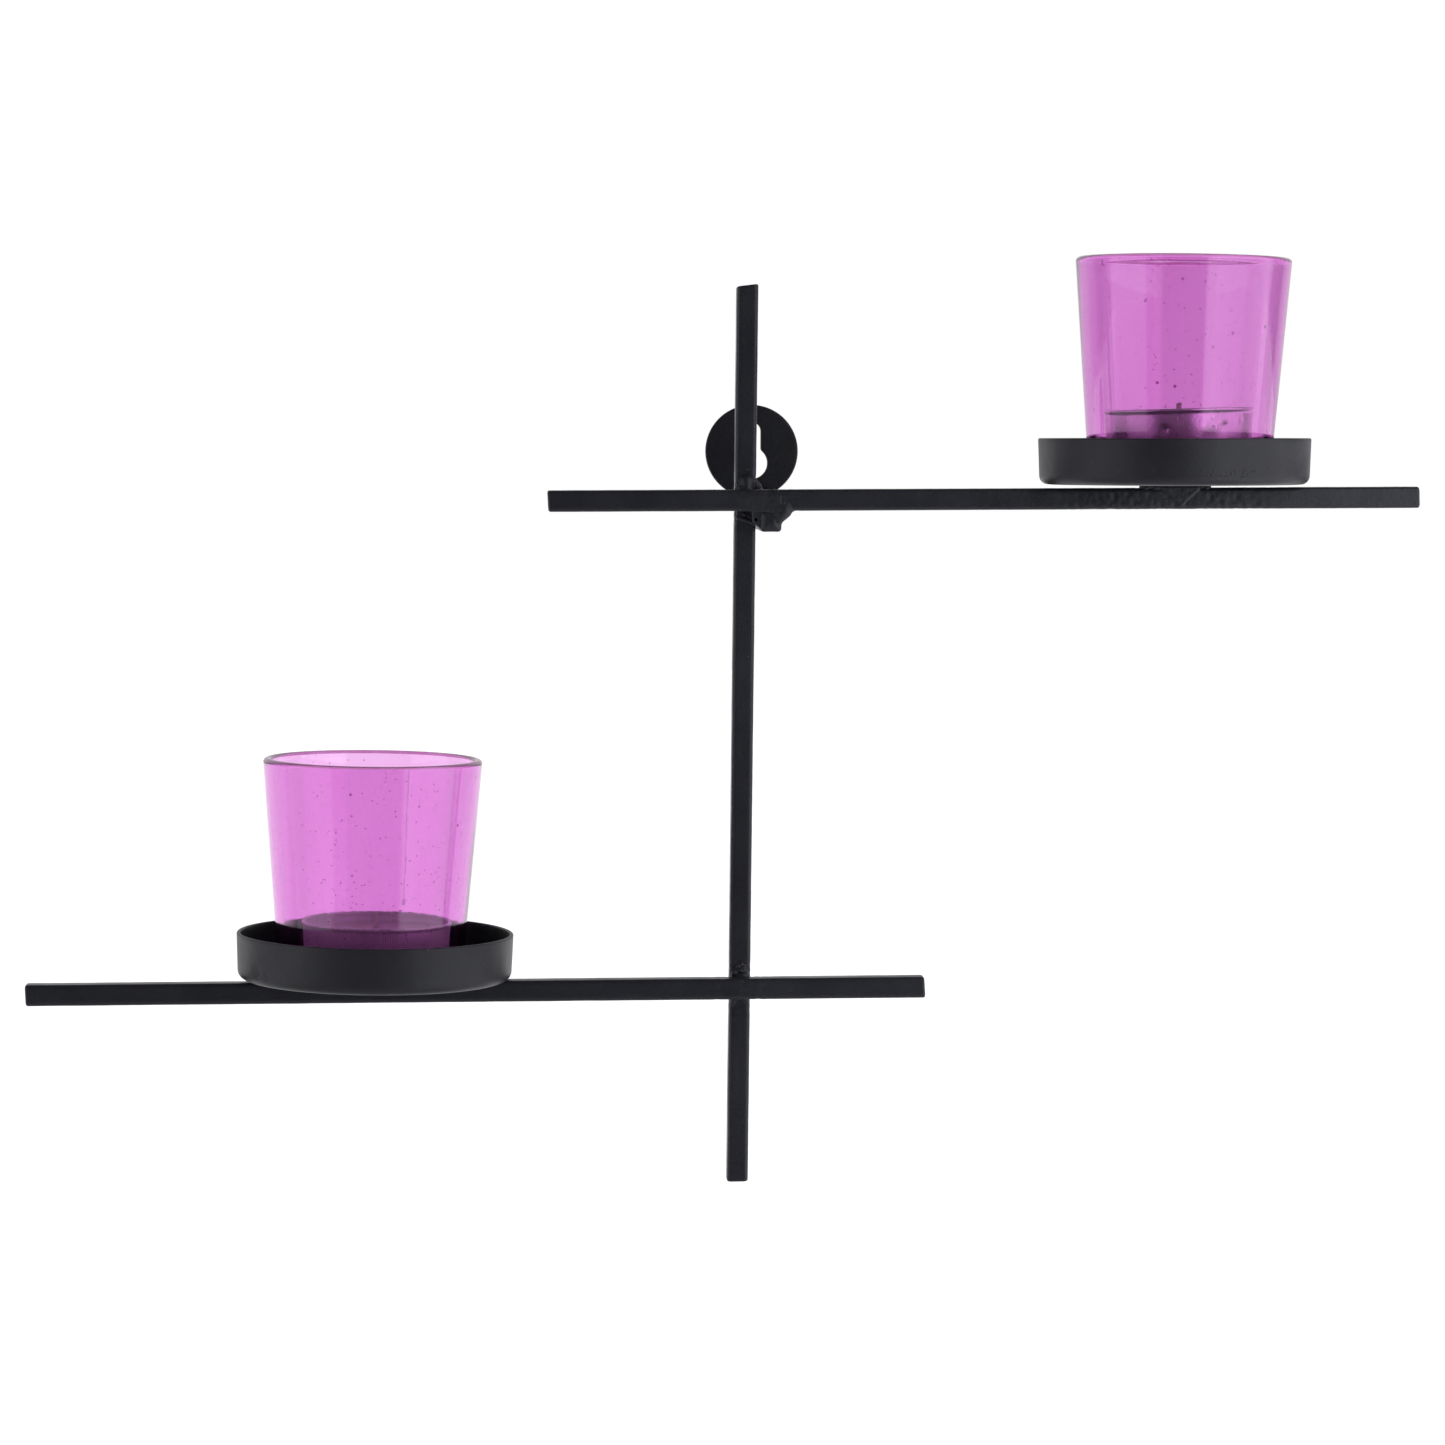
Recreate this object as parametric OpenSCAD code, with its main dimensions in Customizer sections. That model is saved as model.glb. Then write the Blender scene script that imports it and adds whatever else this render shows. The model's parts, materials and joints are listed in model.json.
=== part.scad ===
// Wall-hung candle sconce: one post, two arms, two dishes and two loose glass votive cups.
// Frame: +X right, +Z up, -Y towards the room. The wall is the plane y = 0.
// The origin is the centre of the keyhole's round hole, on the hanger plate's back face.

/* [Bars] */
// Side of the square bar
bar = 5.35; // [4.8:0.05:5.8]
// Radius of the bar's long edges
bar_corner = 1.0; // [0.4:0.1:1.4]
// Chamfer ground on the bar's ends
end_chamfer = 0.5; // [0.2:0.1:0.9]

/* [Post] */
// Length of the post
post_length = 229.6; // [215:0.1:240]
// Height of the post's top end above the keyhole
post_top = 45.6; // [35:0.1:55]
// Distance of the post's axis from the keyhole, at the keyhole's height
post_x = -3.6; // [-4.2:0.1:-3.4]
// Lean of the post in the plane of the wall, top to the right, in degrees
post_lean = 0.65; // [0:0.05:0.8]

/* [Arms] */
// Length of the upper arm
upper_arm_length = 222.3; // [210:0.1:235]
// Left end of the upper arm
upper_arm_left = -54.0; // [-60:0.1:-48]
// Height of the upper arm's middle
upper_arm_z = -8.87; // [-9.1:0.01:-8.6]
// Rise of the upper arm to the right, in degrees
upper_arm_rise = 0.2; // [0:0.05:0.4]
// Length of the lower arm
lower_arm_length = 228.2; // [215:0.1:240]
// Left end of the lower arm
lower_arm_left = -186.1; // [-192:0.1:-180]
// Height of the lower arm's middle
lower_arm_z = -133.5; // [-145:0.1:-125]
// Rise of the lower arm to the right, in degrees
lower_arm_rise = 0.1; // [0:0.05:0.4]

/* [Stand-off and hanger plate] */
// Length of the stand-off bar from the plate to the front of the arms
standoff_length = 38.1; // [37.5:0.1:42]
// Distance of the stand-off's axis from the keyhole
standoff_x = 2.5; // [2.3:0.1:3.2]
// Height of the upturned toe on the hanger plate's face
toe_overlap = 2.0; // [1.6:0.1:2.4]
// Radius of the hanger plate
plate_r = 12.1; // [11.8:0.1:12.6]
// Thickness of the hanger plate
plate_t = 2.0; // [1.5:0.1:3]
// Height of the plate's centre above the keyhole's round hole
plate_z = 3.1; // [2.9:0.1:3.3]
// Radius of the keyhole's round hole
keyhole_r = 4.1; // [3.8:0.1:4.4]
// Width of the keyhole's slot
slot_w = 4.7; // [4.2:0.1:5]
// Height of the slot's upper end above the round hole's centre
slot_rise = 8.3; // [7:0.1:9]

/* [Dishes] */
// Radius of a dish at its rim
dish_r = 34.8; // [33:0.1:36]
// Height of a dish
dish_h = 11.7; // [10:0.1:13]
// Thickness of the pressed sheet
dish_t = 1.0; // [0.8:0.1:1.4]
// Lean of the dish's wall, outwards, in degrees
dish_flare = 2.0; // [0.5:0.1:4]
// Outer radius of the bend between the dish's floor and wall
dish_bend = 2.2; // [1.6:0.1:3]
// Gap between the upper arm and its dish, bridged by weld
upper_dish_gap = 0.9; // [0.2:0.05:1]
// Gap between the lower arm and the middle of its dish, bridged by weld
lower_dish_gap = 0.8; // [0.75:0.05:1.2]
// Centre of the upper dish
upper_dish_x = 105.4; // [95:0.1:115]
// Centre of the lower dish
lower_dish_x = -98.1; // [-108:0.1:-92]
// Tilt of the lower dish and of the cup in it, top to the right, in degrees
lower_dish_tilt = 1.05; // [0:0.05:1.2]

/* [Glass cups] */
// Radius of a glass cup at its mouth
cup_r = 27.5; // [26:0.1:28.5]
// Height of the upper glass cup
upper_cup_h = 56.0; // [50:0.1:62]
// Height of the lower glass cup
lower_cup_h = 54.9; // [50:0.1:62]
// Thickness of the glass wall
cup_wall = 2.2; // [1.8:0.1:2.6]
// Thickness of the glass floor
cup_floor = 2.5; // [2:0.1:3.5]
// Lean of the glass wall, outwards, in degrees
cup_flare = 4.6; // [4:0.1:5.2]
// Outer radius of the bend between the cup's floor and wall
cup_bend = 2.6; // [2.4:0.1:4]
// Tilt of the upper cup in its dish, top to the right, in degrees
upper_cup_tilt = 0.85; // [0:0.05:1.5]
// Offset of the upper cup from its dish's centre
upper_cup_shift = 1.3; // [-3:0.1:3]
// Offset of the lower cup from its dish's centre
lower_cup_shift = -1.1; // [-3:0.1:3]

/* [Tealights] */
// Radius of a tealight at its rolled rim
tealight_r = 19.0; // [18.5:0.1:19.2]
// Height of the upper, deep tealight
upper_tealight_h = 14.7; // [12:0.1:15.5]
// Height of the lower, shallow tealight
lower_tealight_h = 11.5; // [10:0.1:15]
// Thickness of the drawn aluminium
tealight_t = 0.4; // [0.3:0.05:0.5]
// Tilt of the upper tealight against its cup, right side up, in degrees
upper_tealight_tilt = 2.4; // [0:0.1:3.5]
// Offset of the lower tealight from its cup's axis
lower_tealight_shift = 1.4; // [-1.4:0.1:1.4]
// Depth of the wax below the tealight's rim
wax_drop = 2.4; // [1.5:0.1:4]
// Diameter of the wick
wick_d = 1.5; // [1.2:0.1:1.8]
// Length of wick above the wax
wick_out = 4.0; // [2:0.5:6]

/* [Hidden] */
$fn = 64;
eps = 0.01;

// Depths: the arms lie in front of the post, flush with the stand-off's front end.
front_y = -plate_t - standoff_length;
arm_y = front_y + bar / 2;
post_front_y = front_y + bar;
post_y = post_front_y + bar / 2;

// Middles of the arms along X, and the arms' heights at a given X.
upper_mid_x = upper_arm_left + upper_arm_length / 2;
lower_mid_x = lower_arm_left + lower_arm_length / 2;
function upper_axis_z(x) = upper_arm_z + (x - upper_mid_x) * tan(upper_arm_rise);
function lower_axis_z(x) = lower_arm_z + (x - lower_mid_x) * tan(lower_arm_rise);
function post_axis_x(z) = post_x + z * tan(post_lean);

// The stand-off passes just under the upper arm.
standoff_z = upper_axis_z(standoff_x) - bar - 2 * eps;
plate_low = plate_z - plate_r;
toe_top = plate_low + toe_overlap;

// Undersides and floors of the dishes.
upper_dish_z = upper_axis_z(upper_dish_x) + bar / 2 + upper_dish_gap;
lower_dish_z = lower_axis_z(lower_dish_x) + bar / 2 + lower_dish_gap;

// Tealight and wick details.
tealight_flare = 2.0;
tealight_bend = 1.2;
rim_roll = 0.45;
wax_gap = 0.03;
sustainer_r = 6.2;
sustainer_t = 0.3;
neck_h = 3.2;
neck_t = 0.4;
wick_r = wick_d / 2;

// Colours.
enamel = [0.13, 0.13, 0.14];
weld_black = [0.17, 0.17, 0.18];
purple = [0.72, 0.3, 0.72, 0.5];
bright = [0.78, 0.76, 0.78];
wax_white = [0.93, 0.9, 0.88];
wick_white = [0.85, 0.82, 0.76];

// ---- Shared shapes ----

// Square bar of the given length, centred on the origin, lying along X.
module bar_stock(length) {
    flat = bar - 2 * bar_corner;
    long = length / 2;
    half = bar / 2;
    outline = [[-long, -half + end_chamfer], [-long + end_chamfer, -half],
               [long - end_chamfer, -half], [long, -half + end_chamfer],
               [long, half - end_chamfer], [long - end_chamfer, half],
               [-long + end_chamfer, half], [-long, half - end_chamfer]];
    intersection() {
        rotate([90, 0, 90]) linear_extrude(length, center = true) union() {
            square([bar, flat], center = true);
            square([flat, bar], center = true);
            for (sx = [-1, 1], sy = [-1, 1])
                translate([sx * flat / 2, sy * flat / 2]) circle(bar_corner);
        }
        linear_extrude(bar, center = true) polygon(outline);
        rotate([90, 0, 0]) linear_extrude(bar, center = true) polygon(outline);
    }
}

// Solid of revolution with a flat base, a rounded bend and a wall that leans outwards.
module flared_solid(top_r, height, flare, bend) {
    wall = (height - bend * (1 - sin(flare))) / cos(flare);
    bend_x = top_r - bend * cos(flare) - wall * sin(flare);
    rotate_extrude() union() {
        polygon([[0, 0], [bend_x, 0], [bend_x, bend],
                 [bend_x + bend * cos(flare), bend * (1 - sin(flare))],
                 [top_r, height], [0, height]]);
        intersection() {
            translate([bend_x, bend]) circle(bend);
            square([top_r, bend]);
        }
    }
}

// Open vessel with even walls. The wall's top is at the given height and outer radius.
module vessel(top_r, height, flare, bend, wall, floor_t) {
    inner_h = height - floor_t;
    difference() {
        flared_solid(top_r, height, flare, bend);
        translate([0, 0, floor_t])
            flared_solid(top_r - wall / cos(flare) + eps * tan(flare), inner_h + eps,
                         flare, bend - min(wall, floor_t) + 0.4);
    }
}

// Ring of round section, its centre line at radius r.
module ring(r, section_r) {
    rotate_extrude() translate([r, 0]) circle(section_r);
}

// Concave fillet along X, filling the corner between +Y and +Z.
module fillet(leg, length) {
    rotate([90, 0, 90]) linear_extrude(length, center = true) difference() {
        square(leg);
        translate([leg, leg]) circle(leg);
    }
}

// Round lump of weld, turned so that its poles and seam miss the flat faces around it.
module lump(r) {
    rotate([37, 21, 0]) sphere(r);
}

// Rippled weld bead along X: overlapping round lumps.
module bead(length, lump_r, lumps) {
    pitch = (length - 2 * lump_r) / (lumps - 1);
    for (i = [0 : lumps - 1])
        translate([lump_r - length / 2 + i * pitch, 0, 0]) lump(lump_r);
}

// ---- Frame ----

module post_solid() {
    middle_z = post_top - post_length / 2;
    translate([post_axis_x(middle_z), post_y, middle_z]) rotate([0, post_lean, 0])
        rotate([0, -90, 0]) bar_stock(post_length);
}

module upper_arm_solid() {
    translate([upper_mid_x, arm_y, upper_arm_z]) rotate([0, -upper_arm_rise, 0])
        bar_stock(upper_arm_length);
}

module lower_arm_solid() {
    translate([lower_mid_x, arm_y, lower_arm_z]) rotate([0, -lower_arm_rise, 0])
        bar_stock(lower_arm_length);
}

// The toe is a hair narrower than the bar, and the bar ends inside it.
module standoff_solid() {
    inset = 0.05;
    bar_run = standoff_length - 1;
    toe_base = standoff_z - bar / 2 + inset;
    union() {
        translate([standoff_x, front_y + bar_run / 2, standoff_z])
            rotate([0, 0, 90]) bar_stock(bar_run);
        translate([standoff_x - bar / 2 + inset, -plate_t - bar, toe_base])
            cube([bar - 2 * inset, bar, toe_top - toe_base]);
    }
}

module plate_solid() {
    rotate([90, 0, 0]) difference() {
        translate([0, plate_z, 0]) cylinder(r = plate_r, h = plate_t);
        translate([0, 0, -1]) cylinder(r = keyhole_r, h = plate_t + 2);
        translate([-slot_w / 2, 0, -1]) cube([slot_w, slot_rise, plate_t + 2]);
        translate([0, slot_rise, -1]) cylinder(d = slot_w, h = plate_t + 2);
    }
}

module dish_solid() {
    vessel(dish_r, dish_h, dish_flare, dish_bend, dish_t, dish_t);
}

// Places its children, made on the plane z = 0, on the middle of a dish's underside.
module upper_dish_place() {
    translate([upper_dish_x, arm_y, upper_dish_z]) children();
}

module lower_dish_place() {
    translate([lower_dish_x, arm_y, lower_dish_z]) rotate([0, lower_dish_tilt, 0]) children();
}

module post() {
    color(enamel) post_solid();
}

module upper_arm() {
    color(enamel) upper_arm_solid();
}

module lower_arm() {
    color(enamel) lower_arm_solid();
}

module standoff_bar() {
    color(enamel) standoff_solid();
}

module hanger_plate() {
    color(enamel) plate_solid();
}

module upper_dish() {
    color(enamel) upper_dish_place() dish_solid();
}

module lower_dish() {
    color(enamel) lower_dish_place() dish_solid();
}

// ---- Welds ----

// Domed bead above the upper arm on the post's face, with a lump round the post's right edge.
module upper_crossing_weld() {
    z_top = upper_axis_z(post_x) + bar / 2;
    x_mid = post_axis_x(z_top);
    color(weld_black) difference() {
        union() {
            translate([x_mid, post_front_y, z_top]) bead(5.4, 2.2, 4);
            translate([x_mid + bar / 2 + 0.4, post_front_y + 0.3, z_top]) lump(1.8);
        }
        post_solid();
        upper_arm_solid();
    }
}

// Domed bead above the lower arm, and two lumps below it at the post's edges.
module lower_crossing_weld() {
    z_mid = lower_axis_z(post_axis_x(lower_arm_z));
    x_mid = post_axis_x(z_mid);
    color(weld_black) difference() {
        union() {
            translate([x_mid, post_front_y, z_mid + bar / 2]) bead(5.4, 2.1, 4);
            for (side = [-1, 1])
                translate([x_mid + side * bar * 0.36, post_front_y, z_mid - bar / 2])
                    lump(2.0);
        }
        post_solid();
        lower_arm_solid();
    }
}

// Weld that ties the stand-off's front end to the post and to the upper arm.
module standoff_weld() {
    arm_low = upper_axis_z(standoff_x) - bar / 2;
    x_post = post_axis_x(standoff_z);
    leg = 3.4;
    seam = bar + 1.5;
    color(weld_black) difference() {
        union() {
            // Fillet on the stand-off's right side, under the arm.
            translate([standoff_x + bar / 2 - eps, arm_y, arm_low]) rotate([0, 180, 90])
                fillet(leg, bar - 2 * bar_corner);
            // Filling between the post and the stand-off.
            translate([x_post, post_front_y - 1.2, standoff_z - bar / 4])
                cube([standoff_x - x_post, seam, bar * 0.75]);
            // Bead on the post's face under the arm.
            translate([x_post, post_front_y, arm_low]) bead(bar, 1.9, 3);
        }
        post_solid();
        upper_arm_solid();
        standoff_solid();
    }
}

// Beads that tie the stand-off's toe to the lower edge of the hanger plate.
module hanger_plate_weld() {
    color(weld_black) difference() {
        union() {
            for (side = [-1, 1])
                translate([standoff_x + side * bar / 2, -plate_t, toe_top - toe_overlap / 2])
                    lump(1.3);
            translate([standoff_x, -plate_t / 2, plate_low]) bead(bar, 0.95, 4);
        }
        plate_solid();
        standoff_solid();
    }
}

// Weld between an arm and the dish on it: a thin pad and a fillet down each side of the arm,
// made a little too high, then cut off at the dish's underside.
module dish_weld(x, dish_z, rise, gap) {
    pad = 11;
    extra = 0.3;
    leg = gap + extra + 1.4;
    translate([x, arm_y, dish_z - gap - bar / 2]) rotate([0, -rise, 0]) {
        translate([-pad / 2, -bar / 2 - 0.5, bar / 2 - 0.2])
            cube([pad, bar + 1, gap + extra + 0.2]);
        for (side = [0, 180])
            rotate([0, 0, side]) translate([0, bar / 2 - eps, bar / 2 + gap + extra])
                rotate([-90, 0, 0]) fillet(leg, pad);
    }
}

module upper_dish_weld() {
    color(weld_black) difference() {
        dish_weld(upper_dish_x, upper_dish_z, upper_arm_rise, upper_dish_gap);
        upper_arm_solid();
        upper_dish_place() cylinder(r = dish_r / 2, h = dish_t);
    }
}

module lower_dish_weld() {
    color(weld_black) difference() {
        dish_weld(lower_dish_x, lower_dish_z, lower_arm_rise, lower_dish_gap);
        lower_arm_solid();
        lower_dish_place() cylinder(r = dish_r / 2, h = dish_t);
    }
}

// ---- Glass cups and tealights ----

// Glass cup with a fire-polished round lip, its base on the plane z = 0.
module glass_cup(height) {
    lip_r = cup_wall / 2;
    wall_h = height - lip_r;
    union() {
        vessel(cup_r, wall_h, cup_flare, cup_bend, cup_wall, cup_floor);
        translate([0, 0, wall_h]) ring(cup_r - lip_r / cos(cup_flare), lip_r);
    }
}

// Places its children where a cup stands in a dish: on its lower edge when it leans.
module in_dish(shift, lean, height) {
    base_r = cup_r - height * tan(cup_flare) - cup_bend;
    lift = dish_t + base_r * sin(lean) + cup_bend * (1 - cos(lean)) + 2 * eps;
    translate([shift, 0, lift]) rotate([0, lean, 0]) children();
}

// Places its children where a tealight stands: on its lower edge, on the cup's glass floor.
module in_cup(shift, tilt) {
    lift = cup_floor + (tealight_r - tealight_bend) * sin(abs(tilt)) + 3 * eps;
    translate([shift, 0, lift]) rotate([0, -tilt, 0]) children();
}

module upper_cup_place() {
    upper_dish_place() in_dish(upper_cup_shift, upper_cup_tilt, upper_cup_h) children();
}

module lower_cup_place() {
    lower_dish_place() in_dish(lower_cup_shift, 0, lower_cup_h) children();
}

module upper_tealight_place() {
    upper_cup_place() in_cup(0, upper_tealight_tilt) children();
}

module lower_tealight_place() {
    lower_cup_place() in_cup(lower_tealight_shift, 0) children();
}

// Drawn aluminium cup with a rolled rim.
module tealight_cup(height) {
    wall_h = height - rim_roll;
    wall_r = tealight_r - rim_roll;
    union() {
        vessel(wall_r, wall_h, tealight_flare, tealight_bend, tealight_t, tealight_t);
        translate([0, 0, wall_h]) ring(wall_r, rim_roll);
    }
}

// Stamped plate on the tealight's floor, with a neck that grips the wick.
module wick_sustainer() {
    translate([0, 0, tealight_t]) difference() {
        union() {
            cylinder(r = sustainer_r, h = sustainer_t);
            cylinder(r = wick_r + neck_t, h = neck_h);
        }
        translate([0, 0, sustainer_t / 2]) cylinder(r = wick_r, h = neck_h);
    }
}

module wick(height) {
    base = tealight_t + sustainer_t / 2;
    translate([0, 0, base]) cylinder(r = wick_r, h = height - wax_drop + wick_out - base);
}

module wax(height) {
    wax_h = height - wax_drop - tealight_t;
    wall_h = height - rim_roll;
    full_r = tealight_r - rim_roll - tealight_t / cos(tealight_flare) - wax_gap;
    top_r = full_r - (wall_h - tealight_t - wax_h) * tan(tealight_flare);
    difference() {
        translate([0, 0, tealight_t])
            flared_solid(top_r, wax_h, tealight_flare, tealight_bend);
        wick(height);
        wick_sustainer();
    }
}

module upper_glass_cup() {
    color(purple) upper_cup_place() glass_cup(upper_cup_h);
}

module upper_tealight_cup() {
    color(bright) upper_tealight_place() tealight_cup(upper_tealight_h);
}

module upper_tealight_wax() {
    color(wax_white) upper_tealight_place() wax(upper_tealight_h);
}

module upper_wick_sustainer() {
    color(bright) upper_tealight_place() wick_sustainer();
}

module upper_tealight_wick() {
    color(wick_white) upper_tealight_place() wick(upper_tealight_h);
}

module lower_glass_cup() {
    color(purple) lower_cup_place() glass_cup(lower_cup_h);
}

module lower_tealight_cup() {
    color(bright) lower_tealight_place() tealight_cup(lower_tealight_h);
}

module lower_tealight_wax() {
    color(wax_white) lower_tealight_place() wax(lower_tealight_h);
}

module lower_wick_sustainer() {
    color(bright) lower_tealight_place() wick_sustainer();
}

module lower_tealight_wick() {
    color(wick_white) lower_tealight_place() wick(lower_tealight_h);
}

post();
upper_arm();
lower_arm();
standoff_bar();
hanger_plate();
upper_dish();
lower_dish();
upper_crossing_weld();
lower_crossing_weld();
standoff_weld();
hanger_plate_weld();
upper_dish_weld();
lower_dish_weld();
upper_glass_cup();
upper_tealight_cup();
upper_tealight_wax();
upper_wick_sustainer();
upper_tealight_wick();
lower_glass_cup();
lower_tealight_cup();
lower_tealight_wax();
lower_wick_sustainer();
lower_tealight_wick();
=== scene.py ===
"""Looks of a wall-hung candle sconce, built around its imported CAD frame. Metres throughout."""
import json
import math

import bmesh
import bpy
import numpy as np
from mathutils import Matrix, Vector, noise


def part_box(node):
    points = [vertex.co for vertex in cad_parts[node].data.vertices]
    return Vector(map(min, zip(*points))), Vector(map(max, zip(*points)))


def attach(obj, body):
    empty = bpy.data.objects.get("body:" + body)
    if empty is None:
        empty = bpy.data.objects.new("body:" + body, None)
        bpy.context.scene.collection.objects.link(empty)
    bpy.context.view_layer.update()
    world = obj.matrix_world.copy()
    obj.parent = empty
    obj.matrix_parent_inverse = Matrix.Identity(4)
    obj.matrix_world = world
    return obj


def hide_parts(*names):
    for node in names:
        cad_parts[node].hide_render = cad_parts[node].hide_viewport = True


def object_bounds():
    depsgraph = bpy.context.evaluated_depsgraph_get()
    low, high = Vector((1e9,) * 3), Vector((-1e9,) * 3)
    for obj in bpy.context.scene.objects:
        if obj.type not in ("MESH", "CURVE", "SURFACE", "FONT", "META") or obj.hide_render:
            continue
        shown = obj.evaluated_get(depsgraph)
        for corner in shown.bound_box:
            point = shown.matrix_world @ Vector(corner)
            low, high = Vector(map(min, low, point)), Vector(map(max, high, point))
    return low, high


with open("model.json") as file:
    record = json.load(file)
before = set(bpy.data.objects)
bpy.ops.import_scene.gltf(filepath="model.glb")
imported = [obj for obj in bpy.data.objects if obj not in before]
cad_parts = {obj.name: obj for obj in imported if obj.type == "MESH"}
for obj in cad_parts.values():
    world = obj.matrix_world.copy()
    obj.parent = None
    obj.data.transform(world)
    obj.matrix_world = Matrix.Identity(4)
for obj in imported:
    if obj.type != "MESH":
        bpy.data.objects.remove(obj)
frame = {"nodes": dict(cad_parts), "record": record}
CAD_BOUNDS = [list(corner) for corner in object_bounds()]

MM = 0.001
RNG = np.random.default_rng(11)


# ---- Places taken from the frame ----

def node_box(name):
    """Lowest corner, highest corner, centre and size of a CAD node, as numpy arrays."""
    low, high = (np.array(corner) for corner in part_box(name))
    return low, high, (low + high) / 2, high - low


def bar_place(name, rough):
    """Base point, axis direction and length of a bar. Its vertices gather evenly at its two
    ends, so the middles of the ends give the axis."""
    co = np.array([v.co for v in frame["nodes"][name].data.vertices])
    co = np.unique(np.round(co, 7), axis=0)
    along = co @ np.array(rough, float)
    halfway = (along.min() + along.max()) / 2
    low, high = co[along < halfway].mean(0), co[along > halfway].mean(0)
    direction = (high - low) / np.linalg.norm(high - low)
    along = (co - low) @ direction
    return low + direction * along.min(), direction, along.max() - along.min()


def cup_place(name):
    """Middle of the base, axis direction and height of a cup. Its flat faces give the axis and
    a circle through the edge of its base gives the middle."""
    mesh = frame["nodes"][name].data
    normals = np.array([p.normal for p in mesh.polygons])
    areas = np.array([p.area for p in mesh.polygons])
    flat = np.abs(normals[:, 2]) > 0.99
    direction = (normals[flat] * (areas * np.sign(normals[:, 2]))[flat, None]).sum(0)
    direction /= np.linalg.norm(direction)
    co = np.array([v.co for v in mesh.vertices])
    along = co @ direction
    rim = co[along < along.min() + 0.01 * MM]
    side = np.cross((0, 1, 0), direction)
    u, v = rim @ side, rim[:, 1]
    fit = np.linalg.lstsq(np.column_stack([2 * u, 2 * v, np.ones(len(u))]), u * u + v * v,
                          rcond=None)
    middle = side * fit[0][0] + np.array([0, fit[0][1], 0]) + direction * along.min()
    return middle, direction, along.max() - along.min()


def along_z_to(direction):
    """Rotation that takes the Z axis to the given direction and keeps Y in depth."""
    z = Vector(direction).normalized()
    x = Vector((0, 1, 0)).cross(z).normalized()
    return Matrix((x, z.cross(x), z)).transposed().to_4x4()


def stand(base, direction):
    """Places a piece made along Z, with its base at the origin."""
    return Matrix.Translation(Vector(base)) @ along_z_to(direction)


UP, RIGHT = (0, 0, 1), (1, 0, 0)
BAR = node_box("post")[3][1]
BAR_CORNER = 0.95 * MM
POST = bar_place("post", UP)
UPPER_ARM = bar_place("upper_arm", RIGHT)
LOWER_ARM = bar_place("lower_arm", RIGHT)
ARM_FRONT = node_box("upper_arm")[0][1]
POST_FRONT = node_box("post")[0][1]


def post_x(z):
    """Where the post's axis is at a height."""
    base, direction, _ = POST
    return base[0] + (z - base[2]) * direction[0] / direction[2]


def arm_z(arm, x):
    """Height of an arm's axis at a place along it."""
    base, direction, _ = arm
    return base[2] + (x - base[0]) * direction[2] / direction[0]


# ---- Mesh helpers ----

def new_mesh(name, verts, faces, smooth=True):
    """Links a new mesh object made of the given vertices and faces, its faces turned outwards."""
    mesh = bpy.data.meshes.new(name)
    mesh.from_pydata([tuple(v) for v in verts], [], [tuple(f) for f in faces])
    mesh.validate()
    obj = bpy.data.objects.new(name, mesh)
    bpy.context.scene.collection.objects.link(obj)
    bm = bmesh.new()
    bm.from_mesh(mesh)
    bmesh.ops.recalc_face_normals(bm, faces=bm.faces)
    bm.to_mesh(mesh)
    bm.free()
    mesh.polygons.foreach_set("use_smooth", [smooth] * len(mesh.polygons))
    mesh.update()
    return obj


def mesh_points(obj):
    """The object's vertices as an array."""
    co = np.zeros(len(obj.data.vertices) * 3)
    obj.data.vertices.foreach_get("co", co)
    return co.reshape(-1, 3)


def mesh_normals(obj):
    """The object's vertex normals as an array."""
    normals = np.zeros(len(obj.data.vertices) * 3)
    obj.data.vertices.foreach_get("normal", normals)
    return normals.reshape(-1, 3)


def set_points(obj, co):
    """Writes an array back to the object's vertices."""
    obj.data.vertices.foreach_set("co", np.ravel(co))
    obj.data.update()


def push_out(obj, amount):
    """Moves each vertex along its normal by amount(points)."""
    co = mesh_points(obj)
    set_points(obj, co + mesh_normals(obj) * amount(co)[:, None])


def place(obj, matrix):
    """Moves the mesh itself into the row frame."""
    obj.data.transform(matrix)
    obj.data.update()
    return obj


def value_noise(points, size, seed=0):
    """Smooth noise from -1 to 1 at each point, with features of the given size."""
    shift = Vector((17.3 * seed, 5.1 * seed, 9.7 * seed))
    return np.array([noise.noise(Vector(p) / size + shift) for p in points])


def fade(value, start, end):
    """Smooth step from 0 at start to 1 at end."""
    t = np.clip((value - start) / (end - start), 0, 1)
    return t * t * (3 - 2 * t)


def outline(corners, step, arc_steps=6):
    """Open path through (x, y) or (x, y, rounding) corners, filled to about the given step."""
    points = [np.array(corners[0][:2], float)]
    for i in range(1, len(corners) - 1):
        before, here, after = (np.array(corners[i + k][:2], float) for k in (-1, 0, 1))
        radius = corners[i][2] if len(corners[i]) > 2 else 0
        if not radius:
            points.append(here)
            continue
        back = (before - here) / np.linalg.norm(before - here)
        ahead = (after - here) / np.linalg.norm(after - here)
        half = math.acos(np.clip(back @ ahead, -1, 1)) / 2
        middle = (back + ahead) / np.linalg.norm(back + ahead)
        centre = here + middle * radius / math.sin(half)
        u = here + back * radius / math.tan(half) - centre
        v = here + ahead * radius / math.tan(half) - centre
        sweep = math.pi - 2 * half
        for t in np.linspace(0, 1, arc_steps + 1):
            turned = math.sin((1 - t) * sweep) * u + math.sin(t * sweep) * v
            points.append(centre + turned / math.sin(sweep))
    points.append(np.array(corners[-1][:2], float))
    filled = [points[0]]
    for p, q in zip(points, points[1:]):
        count = max(1, round(np.linalg.norm(q - p) / step))
        filled += [p + (q - p) * k / count for k in range(1, count + 1)]
    return filled


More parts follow.
